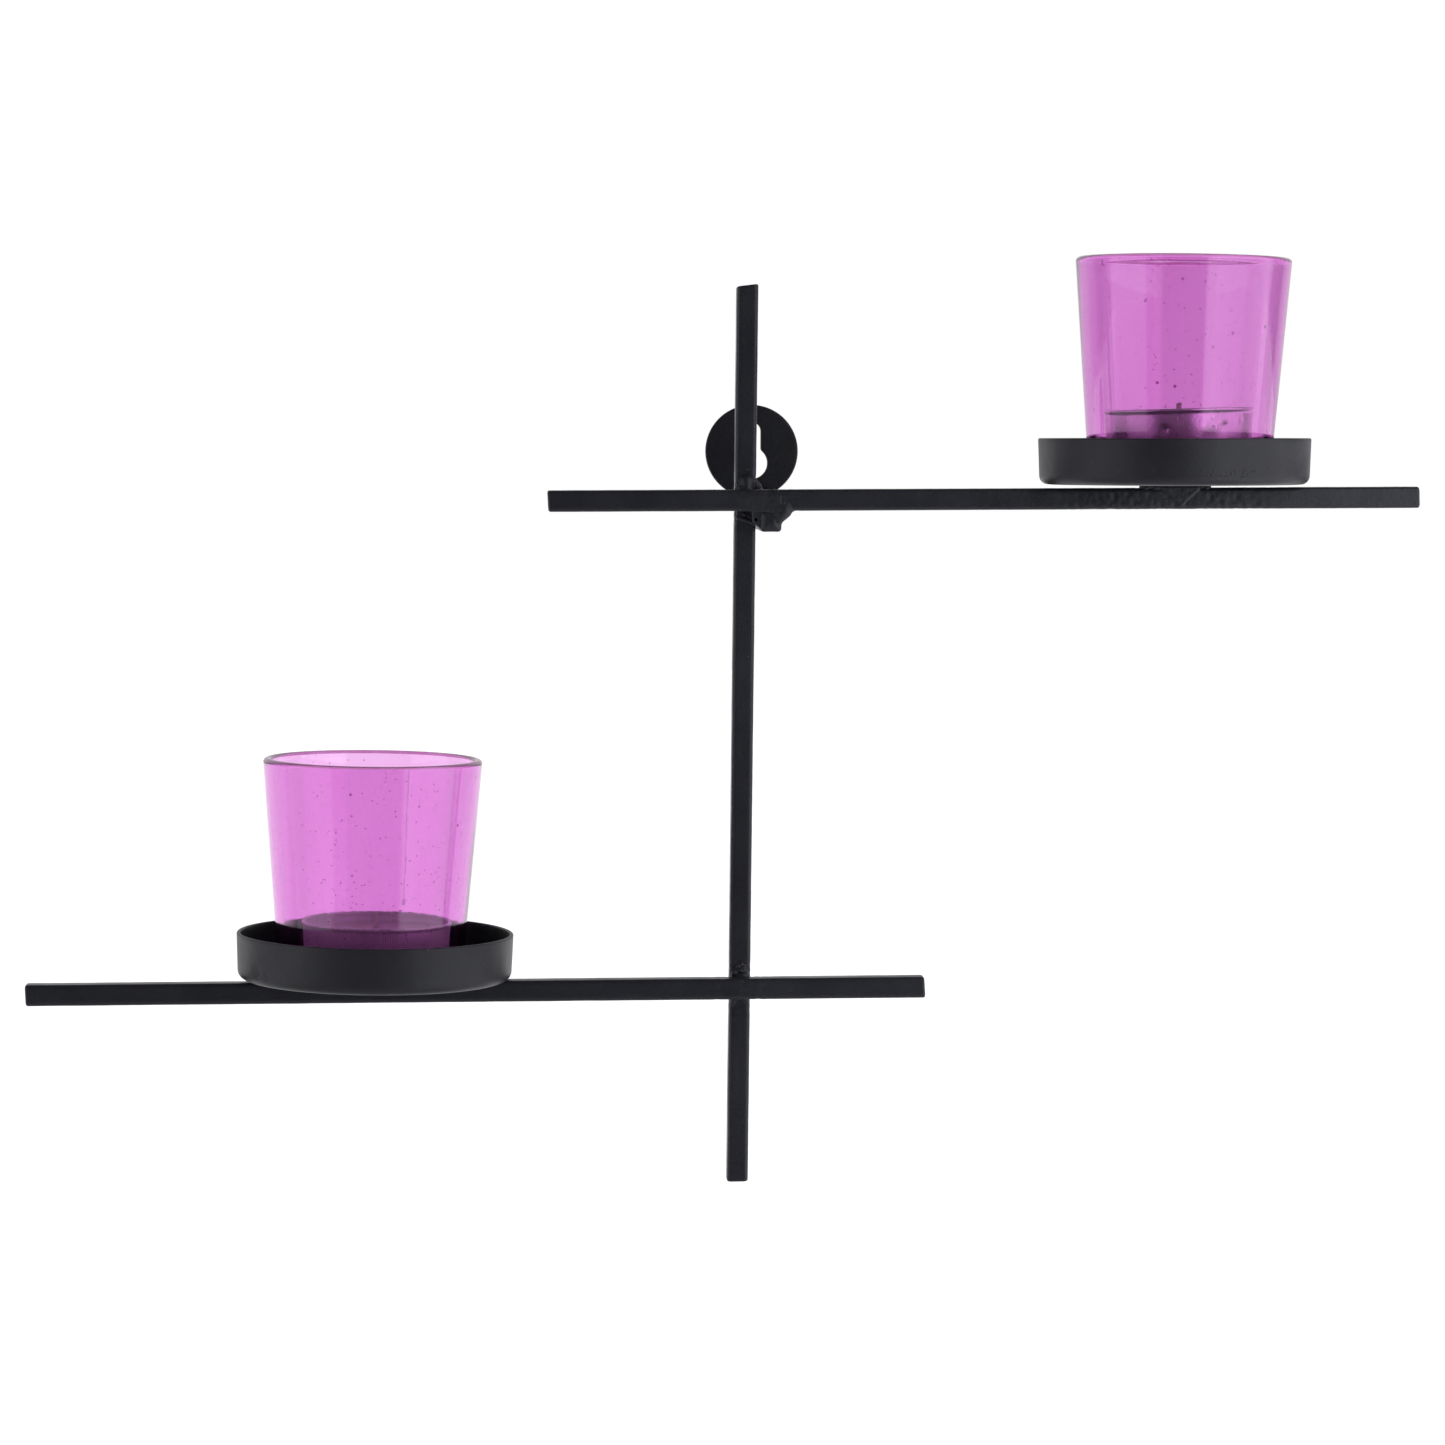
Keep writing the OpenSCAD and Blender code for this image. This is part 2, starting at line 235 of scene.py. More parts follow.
def ring_stack(rings, closed_ends=False):
    """Vertices and faces of rings of equal length joined in order, with a middle vertex at
    each end, or the last ring joined to the first."""
    count = len(rings[0])
    verts = [v for ring in rings for v in ring]
    faces = []
    pairs = list(zip(range(len(rings)), range(1, len(rings))))
    if not closed_ends:
        pairs.append((len(rings) - 1, 0))
    for low, high in pairs:
        for i in range(count):
            j = (i + 1) % count
            faces.append((low * count + i, low * count + j, high * count + j, high * count + i))
    if closed_ends:
        for row in (0, len(rings) - 1):
            middle = len(verts)
            verts.append(np.mean(rings[row], axis=0))
            for i in range(count):
                faces.append((row * count + i, row * count + (i + 1) % count, middle))
    return verts, faces


def full_turn(segments):
    """Angles of evenly spaced points round a circle."""
    return 2 * math.pi * np.arange(segments) / segments


def lathe(name, path, segments):
    """Turns an open path of (radius, height) points about Z. Both its ends are on the axis."""
    angles = full_turn(segments)
    around = np.stack([np.cos(angles), np.sin(angles)], 1)
    rings = [np.column_stack([around * r, np.full(segments, h)]) for r, h in path[1:-1]]
    verts, faces = ring_stack(rings, closed_ends=True)
    verts[-2][2], verts[-1][2] = path[0][1], path[-1][1]
    return new_mesh(name, verts, faces)


def turn_between(angles, degrees):
    """Size of the turn from each of the angles to one given in degrees."""
    return np.abs((angles - math.radians(degrees) + math.pi) % (2 * math.pi) - math.pi)


def swell(obj, amount):
    """Moves each vertex of a turned piece away from the Z axis by amount(points, angles)."""
    co = mesh_points(obj)
    radius = np.hypot(co[:, 0], co[:, 1])
    angle = np.arctan2(co[:, 1], co[:, 0])
    grow = amount(co, angle) / np.maximum(radius, 1e-6)
    co[:, :2] *= (1 + np.where(radius > 1 * MM, grow, 0))[:, None]
    set_points(obj, co)


def surface_net(field, low, high, cell):
    """Closed mesh of the surface where a field of points is zero, negative inside: one vertex
    in each grid cell that the surface crosses, one face round each grid edge."""
    axes = [np.arange(a - cell, b + 2 * cell, cell) for a, b in zip(low, high)]
    grid = np.stack(np.meshgrid(*axes, indexing="ij"), -1)
    value = field(grid.reshape(-1, 3)).reshape(grid.shape[:3])
    inside = value < 0
    shape = np.array(value.shape) - 1
    steps = [(i, j, k) for i in (0, 1) for j in (0, 1) for k in (0, 1)]

    def at(array, step):
        return array[tuple(slice(s, s + n) for s, n in zip(step, shape))]

    total = np.zeros((*shape, 3))
    number = np.zeros(shape)
    for step in steps:
        for axis in range(3):
            if step[axis]:
                continue
            other = tuple(s + (k == axis) for k, s in enumerate(step))
            crossing = at(inside, step) != at(inside, other)
            a, b = at(value, step)[crossing], at(value, other)[crossing]
            spot = np.tile(np.array(step, float), (len(a), 1))
            spot[:, axis] += a / (a - b)
            total[crossing] += spot
            number[crossing] += 1
    active = number > 0
    index = np.full(shape, -1)
    index[active] = np.arange(active.sum())
    origin = np.array([axis[0] for axis in axes])
    verts = (np.argwhere(active) + total[active] / number[active][:, None]) * cell + origin
    faces = []
    for axis in range(3):
        u, v = (axis + 1) % 3, (axis + 2) % 3
        ahead = np.roll(inside, -1, axis)
        edges = np.argwhere(inside != ahead)
        edges = edges[(edges[:, axis] < shape[axis]) & (edges[:, u] > 0) & (edges[:, v] > 0)
                      & (edges[:, u] < shape[u]) & (edges[:, v] < shape[v])]
        corners = []
        for du, dv in ((1, 1), (0, 1), (0, 0), (1, 0)):
            cells = edges.copy()
            cells[:, u] -= du
            cells[:, v] -= dv
            corners.append(index[tuple(cells.T)])
        faces += np.stack(corners, 1).tolist()
    return verts, faces


# ---- Node helpers for materials ----

class Nodes:
    """The node tree of a new material, or of a new world, with short ways to add nodes."""

    def __init__(self, name, kind="materials", shader="Principled BSDF", space="Object"):
        self.owner = getattr(bpy.data, kind).new(name)
        self.owner.use_nodes = True
        self.tree = self.owner.node_tree
        self.shader = self.tree.nodes[shader]
        self.coords = self.add("ShaderNodeTexCoord").outputs[space]

    def add(self, kind, **settings):
        node = self.tree.nodes.new(kind)
        for key, value in settings.items():
            setattr(node, key, value)
        return node

    def feed(self, socket, value):
        """Links a socket to a socket, or sets it to a number or colour."""
        if isinstance(value, (int, float)):
            socket.default_value = value
        elif isinstance(value, tuple):
            socket.default_value = (*value, 1.0) if socket.type == "RGBA" else value
        else:
            self.tree.links.new(value, socket)

    def fill(self, node, **sockets):
        """Feeds a node's inputs by name; underscores stand for spaces."""
        for key, value in sockets.items():
            self.feed(node.inputs[key.replace("_", " ")], value)
        return node

    def set(self, **sockets):
        """Feeds the shader's own inputs."""
        self.fill(self.shader, **sockets)

    def place(self, scale=(1, 1, 1), shift=(0, 0, 0)):
        """Object coordinates, moved and stretched."""
        node = self.fill(self.add("ShaderNodeMapping"), Scale=scale, Location=shift,
                         Vector=self.coords)
        return node.outputs["Vector"]

    def xyz(self, vector):
        """The three parts of a vector."""
        return tuple(self.fill(self.add("ShaderNodeSeparateXYZ"), Vector=vector).outputs)

    def noise(self, size, detail, rough=0.5, distortion=0.0, stretch=(1, 1, 1)):
        """Noise with features of about the given size in metres."""
        node = self.fill(self.add("ShaderNodeTexNoise"), Scale=1 / size, Detail=detail,
                         Roughness=rough, Distortion=distortion, Vector=self.place(stretch))
        return node.outputs["Fac"]

    def dots(self, spacing, radius, density, soft=0.5):
        """1 inside round dots scattered about spacing apart, 0 outside. A density under 1 leaves
        out the rest of the dots."""
        node = self.fill(self.add("ShaderNodeTexVoronoi"), Scale=1 / spacing, Vector=self.coords)
        reach = radius / spacing
        dot = self.span(node.outputs["Distance"], reach * (1 - soft), reach, 1.0, 0.0)
        split = self.fill(self.add("ShaderNodeSeparateColor"), Color=node.outputs["Color"])
        return self.math("MULTIPLY", dot, self.math("LESS_THAN", split.outputs["Red"], density))

    def ramp(self, source, stops):
        """Colour ramp between two (position, colour) stops."""
        node = self.fill(self.add("ShaderNodeValToRGB"), Fac=source)
        for element, (position, color) in zip(node.color_ramp.elements, stops):
            element.position = position
            element.color = (*color, 1.0)
        return node.outputs["Color"]

    def span(self, source, low, high, to_low=0.0, to_high=1.0):
        """Maps a value from one range to another, clamped."""
        node = self.fill(self.add("ShaderNodeMapRange"), Value=source, From_Min=low,
                         From_Max=high, To_Min=to_low, To_Max=to_high)
        return node.outputs["Result"]

    def math(self, operation, a, b=0.0):
        node = self.add("ShaderNodeMath", operation=operation)
        self.feed(node.inputs[0], a)
        self.feed(node.inputs[1], b)
        return node.outputs["Value"]

    def mix(self, fac, a, b):
        """Mixes two colours."""
        node = self.add("ShaderNodeMix", data_type="RGBA")
        for socket, value in ((node.inputs[0], fac), (node.inputs[6], a), (node.inputs[7], b)):
            self.feed(socket, value)
        return node.outputs[2]

    def bump(self, height, distance, strength, normal=None):
        node = self.fill(self.add("ShaderNodeBump"), Distance=distance, Strength=strength,
                         Height=height)
        if normal is not None:
            self.feed(node.inputs["Normal"], normal)
        return node.outputs["Normal"]

    def finish(self, color, roughness, normal):
        self.set(Base_Color=color, Roughness=roughness, Normal=normal)
        return self.owner


# ---- Materials ----

def enamel(name, base, worn, gloss, mottle, peel):
    """Black enamel: dark and lighter colour, roughness range, and the depths of a mottle
    about 1 mm across and of a fine orange peel."""
    n = Nodes(name)
    n.set(Specular_IOR_Level=0.5, Specular_Tint=(0.90, 0.91, 1.0))
    drift = n.noise(14 * MM, 4)
    grain = n.noise(0.45 * MM, 3, 0.6)
    color = n.ramp(drift, [(0.3, base), (0.75, tuple(1.3 * c for c in base))])
    rubbed = n.span(n.noise(4.2 * MM, 6, 0.64, 0.3), 0.63, 0.8, 0.0, 0.5)
    color = n.mix(rubbed, color, worn)
    color = n.mix(n.dots(3.4 * MM, 0.16 * MM, 0.3), color, tuple(3 * c for c in worn))
    rough = n.span(n.math("ADD", drift, n.math("MULTIPLY", grain, 0.4)), 0.4, 1.0, *gloss)
    rough = n.math("ADD", rough, n.math("MULTIPLY", rubbed, 0.15))
    normal = n.bump(n.noise(7 * MM, 2), 0.3 * MM, 0.5)
    normal = n.bump(n.noise(1.0 * MM, 4, 0.6), mottle, 0.6, normal)
    normal = n.bump(grain, peel, 0.6, normal)
    normal = n.bump(n.dots(2.6 * MM, 0.25 * MM, 0.35, 1.0), 0.05 * MM, 0.5, normal)
    return n.finish(color, rough, normal)


def lacquer_run(n, base, aside, slant, foot):
    """1 along a thin run of lacquer down the front of a cup, 0 elsewhere. It leans by slant, is
    aside from the axis at the base's height and ends in a drop, foot above the base."""
    x, y, z = n.xyz(n.place(shift=tuple(-a for a in base)))
    wander = n.math("MULTIPLY", n.math("SUBTRACT", n.noise(6 * MM, 2), 0.5), 0.5 * MM)
    middle = n.math("ADD", n.math("MULTIPLY", z, slant), aside)
    off = n.math("ABSOLUTE", n.math("SUBTRACT", n.math("ADD", x, wander), middle))
    thin = n.math("MULTIPLY", n.span(off, 0.08 * MM, 0.34 * MM, 0.42, 0.0),
                  n.span(z, foot, foot + 1 * MM))
    thin = n.math("MULTIPLY", thin, n.span(n.noise(5 * MM, 3), 0.35, 0.5, 0.6, 1.0))
    drop = n.math("MULTIPLY", n.math("ABSOLUTE", n.math("SUBTRACT", z, foot)), 0.5)
    drop = n.math("ADD", n.math("MULTIPLY", off, off), n.math("MULTIPLY", drop, drop))
    drop = n.span(n.math("SQRT", drop), 0.3 * MM, 0.6 * MM, 0.7, 0.0)
    return n.math("MULTIPLY", n.math("MAXIMUM", thin, drop), n.math("LESS_THAN", y, 0.0))


def purple_coat(name, base, run):
    """Outer face of the glass: transparent purple lacquer with pinholes, dust and, unless run is
    None, a run at those distances from the middle of the base."""
    n = Nodes(name)
    n.set(Transmission_Weight=1.0, IOR=1.5)
    drift = n.noise(20 * MM, 3, stretch=(1.0, 1.0, 0.3))
    color = n.ramp(drift, [(0.25, PURPLE), (0.8, LIGHT_PURPLE)])
    dark = n.dots(1.9 * MM, 0.25 * MM, 0.9, 0.5)
    dark = n.math("MAXIMUM", dark, n.dots(4.6 * MM, 0.55 * MM, 0.35, 0.5))
    bloom = n.span(n.noise(7 * MM, 5, 0.65), 0.62, 0.85, 0.0, 0.3)
    if run:
        dark = n.math("MAXIMUM", dark, lacquer_run(n, base, *run))
    color = n.mix(dark, color, (0.11, 0.008, 0.10))
    color = n.mix(bloom, color, LIGHT_PURPLE)
    rough = n.span(n.noise(4 * MM, 4), 0.35, 0.75, 0.02, 0.09)
    normal = n.bump(n.noise(12 * MM, 2, stretch=(1.0, 1.0, 0.4)), 0.10 * MM, 0.4)
    normal = n.bump(n.dots(3.7 * MM, 0.3 * MM, 0.3, 1.0), 0.06 * MM, 0.6, normal)
    return n.finish(color, rough, normal)


def lip_coat():
    """Lip of the glass, where the lacquer has gathered and is cloudy."""
    n = Nodes("lip_lacquer")
    n.set(Transmission_Weight=0.5, IOR=1.5)
    color = n.ramp(n.noise(6 * MM, 3), [(0.3, (0.52, 0.17, 0.43)), (0.8, (0.66, 0.28, 0.58))])
    rough = n.span(n.noise(4 * MM, 4), 0.35, 0.75, 0.05, 0.18)
    normal = n.bump(n.noise(5 * MM, 2), 0.05 * MM, 0.4)
    return n.finish(color, rough, normal)


def clear_face():
    """Inner face of the glass: uncoated, slightly wavy, with a few seeds."""
    n = Nodes("clear_glass")
    n.set(Transmission_Weight=1.0, IOR=1.5)
    color = n.ramp(n.noise(9 * MM, 3), [(0.3, (0.97, 0.94, 0.97)), (0.8, (0.99, 0.98, 0.99))])
    rough = n.span(n.noise(6 * MM, 3), 0.35, 0.75, 0.02, 0.07)
    normal = n.bump(n.noise(14 * MM, 2, stretch=(1.0, 1.0, 0.4)), 0.10 * MM, 0.4)
    normal = n.bump(n.dots(4.6 * MM, 0.35 * MM, 0.25, 1.0), 0.08 * MM, 0.7, normal)
    return n.finish(color, rough, normal)


def foil(name, metallic):
    """Bright drawn aluminium, with fine draw lines and small dents."""
    n = Nodes(name)
    n.set(Metallic=metallic)
    lines = n.noise(0.5 * MM, 3, stretch=(1.0, 1.0, 0.3))
    color = n.ramp(n.noise(4 * MM, 3), [(0.3, (0.88, 0.87, 0.88)), (0.8, (0.96, 0.95, 0.96))])
    color = n.mix(n.dots(2.2 * MM, 0.2 * MM, 0.25), color, (0.25, 0.22, 0.24))
    rough = n.span(lines, 0.3, 0.7, 0.26, 0.42)
    normal = n.bump(lines, 0.02 * MM, 0.3)
    normal = n.bump(n.noise(2.8 * MM, 3), 0.12 * MM, 0.5, normal)
    return n.finish(color, rough, normal)


def candle_wax():
    """White paraffin: waxy, faintly pitted and with small darker specks scattered over it."""
    n = Nodes("candle_wax")
    n.set(Subsurface_Weight=0.35, Subsurface_Scale=2 * MM, Specular_IOR_Level=0.4)
    color = n.ramp(n.noise(3 * MM, 4), [(0.3, (0.86, 0.83, 0.79)), (0.75, (0.93, 0.91, 0.88))])
    color = n.mix(n.dots(2.1 * MM, 0.22 * MM, 0.3), color, (0.70, 0.66, 0.60))
    rough = n.span(n.noise(1.2 * MM, 3), 0.3, 0.7, 0.35, 0.55)
    normal = n.bump(n.noise(2.2 * MM, 4), 0.15 * MM, 0.6)
    return n.finish(color, rough, normal)


def wick_cotton():
    """Waxed braided cotton."""
    n = Nodes("wick_cotton")
    n.set(Sheen_Weight=0.3)
    strand = n.add("ShaderNodeTexWave", wave_type="BANDS", bands_direction="DIAGONAL")
    n.fill(strand, Scale=1 / (0.9 * MM), Distortion=0.6, Vector=n.coords)
    fibre = strand.outputs["Fac"]
    color = n.ramp(fibre, [(0.1, (0.55, 0.50, 0.42)), (0.8, (0.86, 0.82, 0.74))])
    rough = n.span(n.noise(0.4 * MM, 3), 0.3, 0.7, 0.6, 0.85)
    return n.finish(color, rough, n.bump(fibre, 0.06 * MM, 0.8))


def tinplate():
    """Stamped tinplate of the wick's foot."""
    n = Nodes("sustainer_tinplate")
    n.set(Metallic=1.0)
    color = n.ramp(n.noise(2 * MM, 4), [(0.3, (0.5, 0.5, 0.48)), (0.8, (0.7, 0.69, 0.66))])
    rough = n.span(n.noise(0.6 * MM, 3), 0.3, 0.7, 0.25, 0.42)
    return n.finish(color, rough, n.bump(n.noise(0.5 * MM, 3), 0.03 * MM, 0.6))


PURPLE, LIGHT_PURPLE = (0.60, 0.16, 0.57), (0.68, 0.23, 0.66)
WORN = (0.035, 0.036, 0.040)
BAR_ENAMEL = enamel("bar_enamel", (0.0080, 0.0084, 0.0122), WORN, (0.26, 0.46),
                    0.10 * MM, 0.04 * MM)
PLATE_ENAMEL = enamel("plate_enamel", (0.0030, 0.0032, 0.0048), WORN, (0.30, 0.46),
                      0.06 * MM, 0.02 * MM)
DISH_ENAMEL = enamel("dish_enamel", (0.0055, 0.0056, 0.0085), (0.045, 0.045, 0.052),
                     (0.38, 0.54), 0.03 * MM, 0.045 * MM)
WELD_ENAMEL = enamel("weld_enamel", (0.0075, 0.0080, 0.0115), (0.045, 0.046, 0.052),
                     (0.36, 0.52), 0.08 * MM, 0.04 * MM)
CLEAR_FACE = clear_face()
FOIL = {"upper": foil("smooth_foil", 0.9), "lower": foil("fluted_foil", 0.3)}
LIP = lip_coat()
WAX = candle_wax()
COTTON = wick_cotton()
TINPLATE = tinplate()


def finish_piece(obj, body, slot, materials, *replaced):
    """Gives a piece its materials and the body that it rides on, and hides the CAD nodes that it
    stands for. Its slot argument is not used."""
    obj.data.materials.clear()
    for material in materials:
        obj.data.materials.append(material)
    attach(obj, body)
    if replaced:
        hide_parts(*replaced)
    return obj


# ---- Bars and wall plate ----

def bar_section(side, corner, per_corner=5, per_flat=6):
    """Points round a rounded square, anticlockwise."""
    half, flat = side / 2, side / 2 - corner
    points = []
    for quarter in range(4):
        turn = Matrix.Rotation(quarter * math.pi / 2, 2)
        for y in np.linspace(-flat, flat, per_flat, endpoint=False):
            points.append(turn @ Vector((half, y)))
        for a in np.linspace(0, math.pi / 2, per_corner, endpoint=False):
            points.append(turn @ Vector((flat + corner * math.cos(a), flat + corner * math.sin(a))))
    return np.array(points)


def quarter_round(radius, steps=5):
    """Inset and depth of points round a quarter circle, from the face inwards to the side."""
    return [(radius * (1 - math.cos(a)), radius * (1 - math.sin(a)))
            for a in np.linspace(0, math.pi / 2, steps)]


def bar_rings(length, end_round, step):
    """Heights of a bar's rings and how far each is drawn in, with rounded ends."""
    low = sorted((depth, inset) for inset, depth in quarter_round(end_round))
    body = [(z, 0.0) for z in np.arange(end_round + step, length - end_round, step)]
    return low + body + [(length - z, inset) for z, inset in reversed(low)]


def weather_bar(co, seed, rough_spots):
    """Sinks a slightly swollen bar's surface unevenly: a long wave, a fine one, and a coarse
    mottle near the rough spots, each given as (height, reach)."""
    sink = 0.5 * value_noise(co, 7 * MM, seed) + 0.25 * value_noise(co, 1.8 * MM, seed + 3) - 0.6
    near = np.zeros(len(co))
    for height, reach in rough_spots:
        near = np.maximum(near, 1 - fade(abs(co[:, 2] - height), 0.5 * reach, reach))
    sink += 2.2 * near * (np.maximum(value_noise(co, 1.3 * MM, seed + 5), -0.25) + 0.25)
    co[:, :2] -= co[:, :2] / (BAR / 2) * (sink * 0.055 * MM)[:, None]


def long_bar(name, node, span, low_cut, high_cut, seed, rough_spots):
    """A bar piece that stands for a long CAD bar. A cut leaves an end out of square by that
    much across the bar's width."""
    base, direction, length = span
    section = bar_section(BAR, BAR_CORNER)
    rings = [np.column_stack([section * (1 - 2 * inset / BAR), np.full(len(section), z)])
             for z, inset in bar_rings(length, 0.55 * MM, 0.45 * MM)]
    verts, faces = ring_stack(rings, closed_ends=True)
    co = np.array(verts)
    across = co[:, 0] / BAR + 0.5
    co[:, 2] += (1 - fade(co[:, 2], 0, 6 * MM)) * low_cut * across
    co[:, 2] -= fade(co[:, 2], length - 6 * MM, length) * high_cut * (1 - across)
    weather_bar(co, seed, rough_spots)
    obj = place(new_mesh(name, co, faces), stand(base, direction))
    return finish_piece(obj, "frame", "black_enamel", [BAR_ENAMEL], node)


def standoff_piece():
    """Square bar from the front of the arms back to the wall plate, where it turns up."""
    low, high, _, size = node_box("standoff_bar")
    run, rise = size[1] - BAR / 2, size[2] - BAR / 2
    path = outline([(0, 0), (run, 0, BAR / 2 + 0.9 * MM), (run, rise)], 0.4 * MM, 12)
    path = [p for p, q in zip(path, path[1:]) if np.linalg.norm(q - p) > 0.05 * MM] + [path[-1]]
    travel = np.concatenate([[0], np.cumsum(np.linalg.norm(np.diff(path, axis=0), axis=1))])
    section = bar_section(BAR, BAR_CORNER)
    rings = []
    for k, (point, s) in enumerate(zip(path, travel)):
        ahead = path[min(k + 1, len(path) - 1)] - path[max(k - 1, 0)]
        side = np.array([-ahead[1], ahead[0]]) / np.linalg.norm(ahead)
        to_end = min(s, travel[-1] - s)
        inset = 0.35 * MM * (1 - fade(to_end, -0.4 * MM, 0.8 * MM))
        ring = section * (1 - 2 * inset / BAR)
        rings.append([(x, point[0] + y * side[0], point[1] + y * side[1]) for x, y in ring])
    verts, faces = ring_stack(rings, closed_ends=True)
    co = np.array(verts) + np.array([(low[0] + high[0]) / 2, low[1], low[2] + BAR / 2])
    obj = new_mesh("standoff_square_bar", co, faces)
    push_out(obj, lambda co: -0.06 * MM * (1 + value_noise(co, 2.5 * MM, 4)))
    return finish_piece(obj, "frame", "black_enamel", [BAR_ENAMEL], "standoff_bar")


def keyhole_reach(angle, eye, hole_r, slot_half, slot_top):
    """Distance to the keyhole's edge from the eye, a point at the foot of the slot, with the
    two corners under the slot slightly rounded."""
    dx, dy = abs(math.cos(angle)), math.sin(angle)
    hole = math.sqrt(hole_r ** 2 - (eye * dx) ** 2) - eye * dy
    side = slot_half / max(dx, 1e-9)
    up = slot_top - eye
    if dy <= 0:
        slot = min(side, 0.5 * hole)
    elif side * dy <= up:
        slot = side
    else:
        slot = up * dy + math.sqrt(max(slot_half ** 2 - (up * dx) ** 2, 0))
    soft = 0.5 * MM
    near = max(soft - abs(hole - slot), 0) / soft
    return max(hole, slot) + near * near * soft / 4


def hanger_disc():
    """Punched round plate with a keyhole, its edges slightly rolled by the punch."""
    low, _, centre, size = node_box("hanger_plate")
    radius, thick = size[0] / 2, size[1]
    mount = next(m for m in frame["record"]["mounts"] if m["name"] == "keyhole")
    hole_r = mount["dims"]["r_mm"] * MM
    slot_half, slot_top, eye, edge = 2.35 * MM, 8.3 * MM, 2.6 * MM, 0.35 * MM
    segments = 360
    angles = full_turn(segments)
    inner = np.array([keyhole_reach(a, eye, hole_r, slot_half, slot_top) for a in angles])
    drop = eye - centre[2]
    outer = np.sqrt(radius ** 2 - (drop * np.cos(angles)) ** 2) - drop * np.sin(angles)
    bend = quarter_round(edge)
    across = np.linspace(0, 1, 14)[1:-1]
    rows = [(inner + inset, depth) for inset, depth in bend]
    rows += [(inner + edge + (outer - inner - 2 * edge) * t, 0.0) for t in across]
    rows += [(outer - inset, depth) for inset, depth in reversed(bend)]
    rows += [(reach, thick - depth) for reach, depth in reversed(rows)]
    rings = [np.column_stack([reach * np.cos(angles), np.full(segments, low[1] + depth),
                              eye + reach * np.sin(angles)]) for reach, depth in rows]
    verts, faces = ring_stack(rings)
    co = np.array(verts)
    bow = 0.12 * MM * np.abs(value_noise(co, 9 * MM, 2))
    co[:, 1] += np.where(co[:, 1] < -thick / 2, bow, 0)
    obj = new_mesh("hanger_keyhole_disc", co, faces)
    return finish_piece(obj, "frame", "plate_enamel", [PLATE_ENAMEL], "hanger_plate")


long_bar("post_bar", "post", POST, 0.1 * MM, 0.7 * MM, 2,
         [(50 * MM, 9 * MM), (175 * MM, 9 * MM)])
long_bar("upper_arm_bar", "upper_arm", UPPER_ARM, 0.25 * MM, 0.15 * MM, 5,
         [(56 * MM, 10 * MM), (159 * MM, 34 * MM)])
long_bar("lower_arm_bar", "lower_arm", LOWER_ARM, 0.2 * MM, 0.3 * MM, 9, [(181 * MM, 10 * MM)])
standoff_piece()
hanger_disc()


# ---- Dishes ----

DISH_WALL = 1.0 * MM
DISH_FLARE = math.radians(2.0)
DISH_BEND = 2.2 * MM
SEGMENTS = 256


def dish(name, node, seed, grown, dents):
    """Pressed sheet dish with a rounded lip, its wall moved outwards by grown. Dents are
    (angle in degrees, height, depth, width): the wall is pushed in there."""
    base, direction, height = cup_place(node)
    top_r = node_box(node)[3][1] / 2
    foot_r = top_r - height * math.tan(DISH_FLARE)
    lip = 0.42 * DISH_WALL
    path = outline([(0, 0), (foot_r, 0, DISH_BEND), (top_r, height, lip),
                    (top_r - DISH_WALL, height, lip),
                    (foot_r - DISH_WALL, DISH_WALL, DISH_BEND - DISH_WALL + 0.5 * MM),
                    (0, DISH_WALL)], 1.1 * MM)
    obj = lathe(name, path, SEGMENTS)

    def uneven(co, angle):
        grow = np.full(len(co), grown)
        grow += 0.05 * MM * value_noise(co, 12 * MM, seed) * fade(co[:, 2], 0, 3 * MM)
        for turn, z, depth, width in dents:
            away = turn_between(angle, turn) * top_r
            near = np.hypot(away / width, (co[:, 2] - z) / (0.6 * width))
            grow -= depth * (1 - fade(near, 0.1, 1)) * (1 + 0.5 * value_noise(co, 1.2 * MM, seed))
        return grow

    swell(obj, uneven)
    place(obj, stand(base, direction))
    return finish_piece(obj, "frame", "dish_enamel", [DISH_ENAMEL], node)


dish("upper_pressed_dish", "upper_dish", 3, -0.25 * MM, [(-35, 6 * MM, 0.12 * MM, 9 * MM)])
dish("lower_pressed_dish", "lower_dish", 8, 0.2 * MM,
     [(-146, 3.4 * MM, 0.55 * MM, 2.6 * MM), (-139, 2.6 * MM, 0.4 * MM, 1.6 * MM)])


# ---- Welds ----

def ball(centre, radius):
    """Signed distance to a sphere, as a function of points. Lengths in millimetres."""
    centre = np.array(centre) * MM
    return lambda p: np.linalg.norm(p - centre, axis=1) - radius * MM


def rod(start, end, radius, end_radius=None):
    """Signed distance to a round-ended rod, which may taper."""
    a, b = np.array(start) * MM, np.array(end) * MM
    slope = (radius if end_radius is None else end_radius) - radius

    def distance(p):
        t = np.clip((p - a) @ (b - a) / ((b - a) @ (b - a)), 0, 1)
        return np.linalg.norm(p - a - t[:, None] * (b - a), axis=1) - (radius + slope * t) * MM
    return distance


def block_field(centre, size, turn=np.eye(3)):
    """Signed distance to a block with a bar's rounded edges, its sides along turn's columns."""
    half = np.array(size) / 2 - BAR_CORNER

    def distance(p):
        q = np.abs((p - centre) @ turn) - half
        return np.linalg.norm(np.maximum(q, 0), axis=1) + np.minimum(q.max(1), 0) - BAR_CORNER
    return distance


def bar_field(base, direction, length):
    """Signed distance to a rounded square bar."""
    turn = np.array(along_z_to(direction).to_3x3())
    return block_field(base + direction * length / 2, (BAR, BAR, length), turn)


def blend_min(a, b, soft):
    """Smaller of two distances, rounded over where they are about equal."""
    near = np.maximum(soft - np.abs(a - b), 0) / soft
    return np.minimum(a, b) - near * near * soft / 4


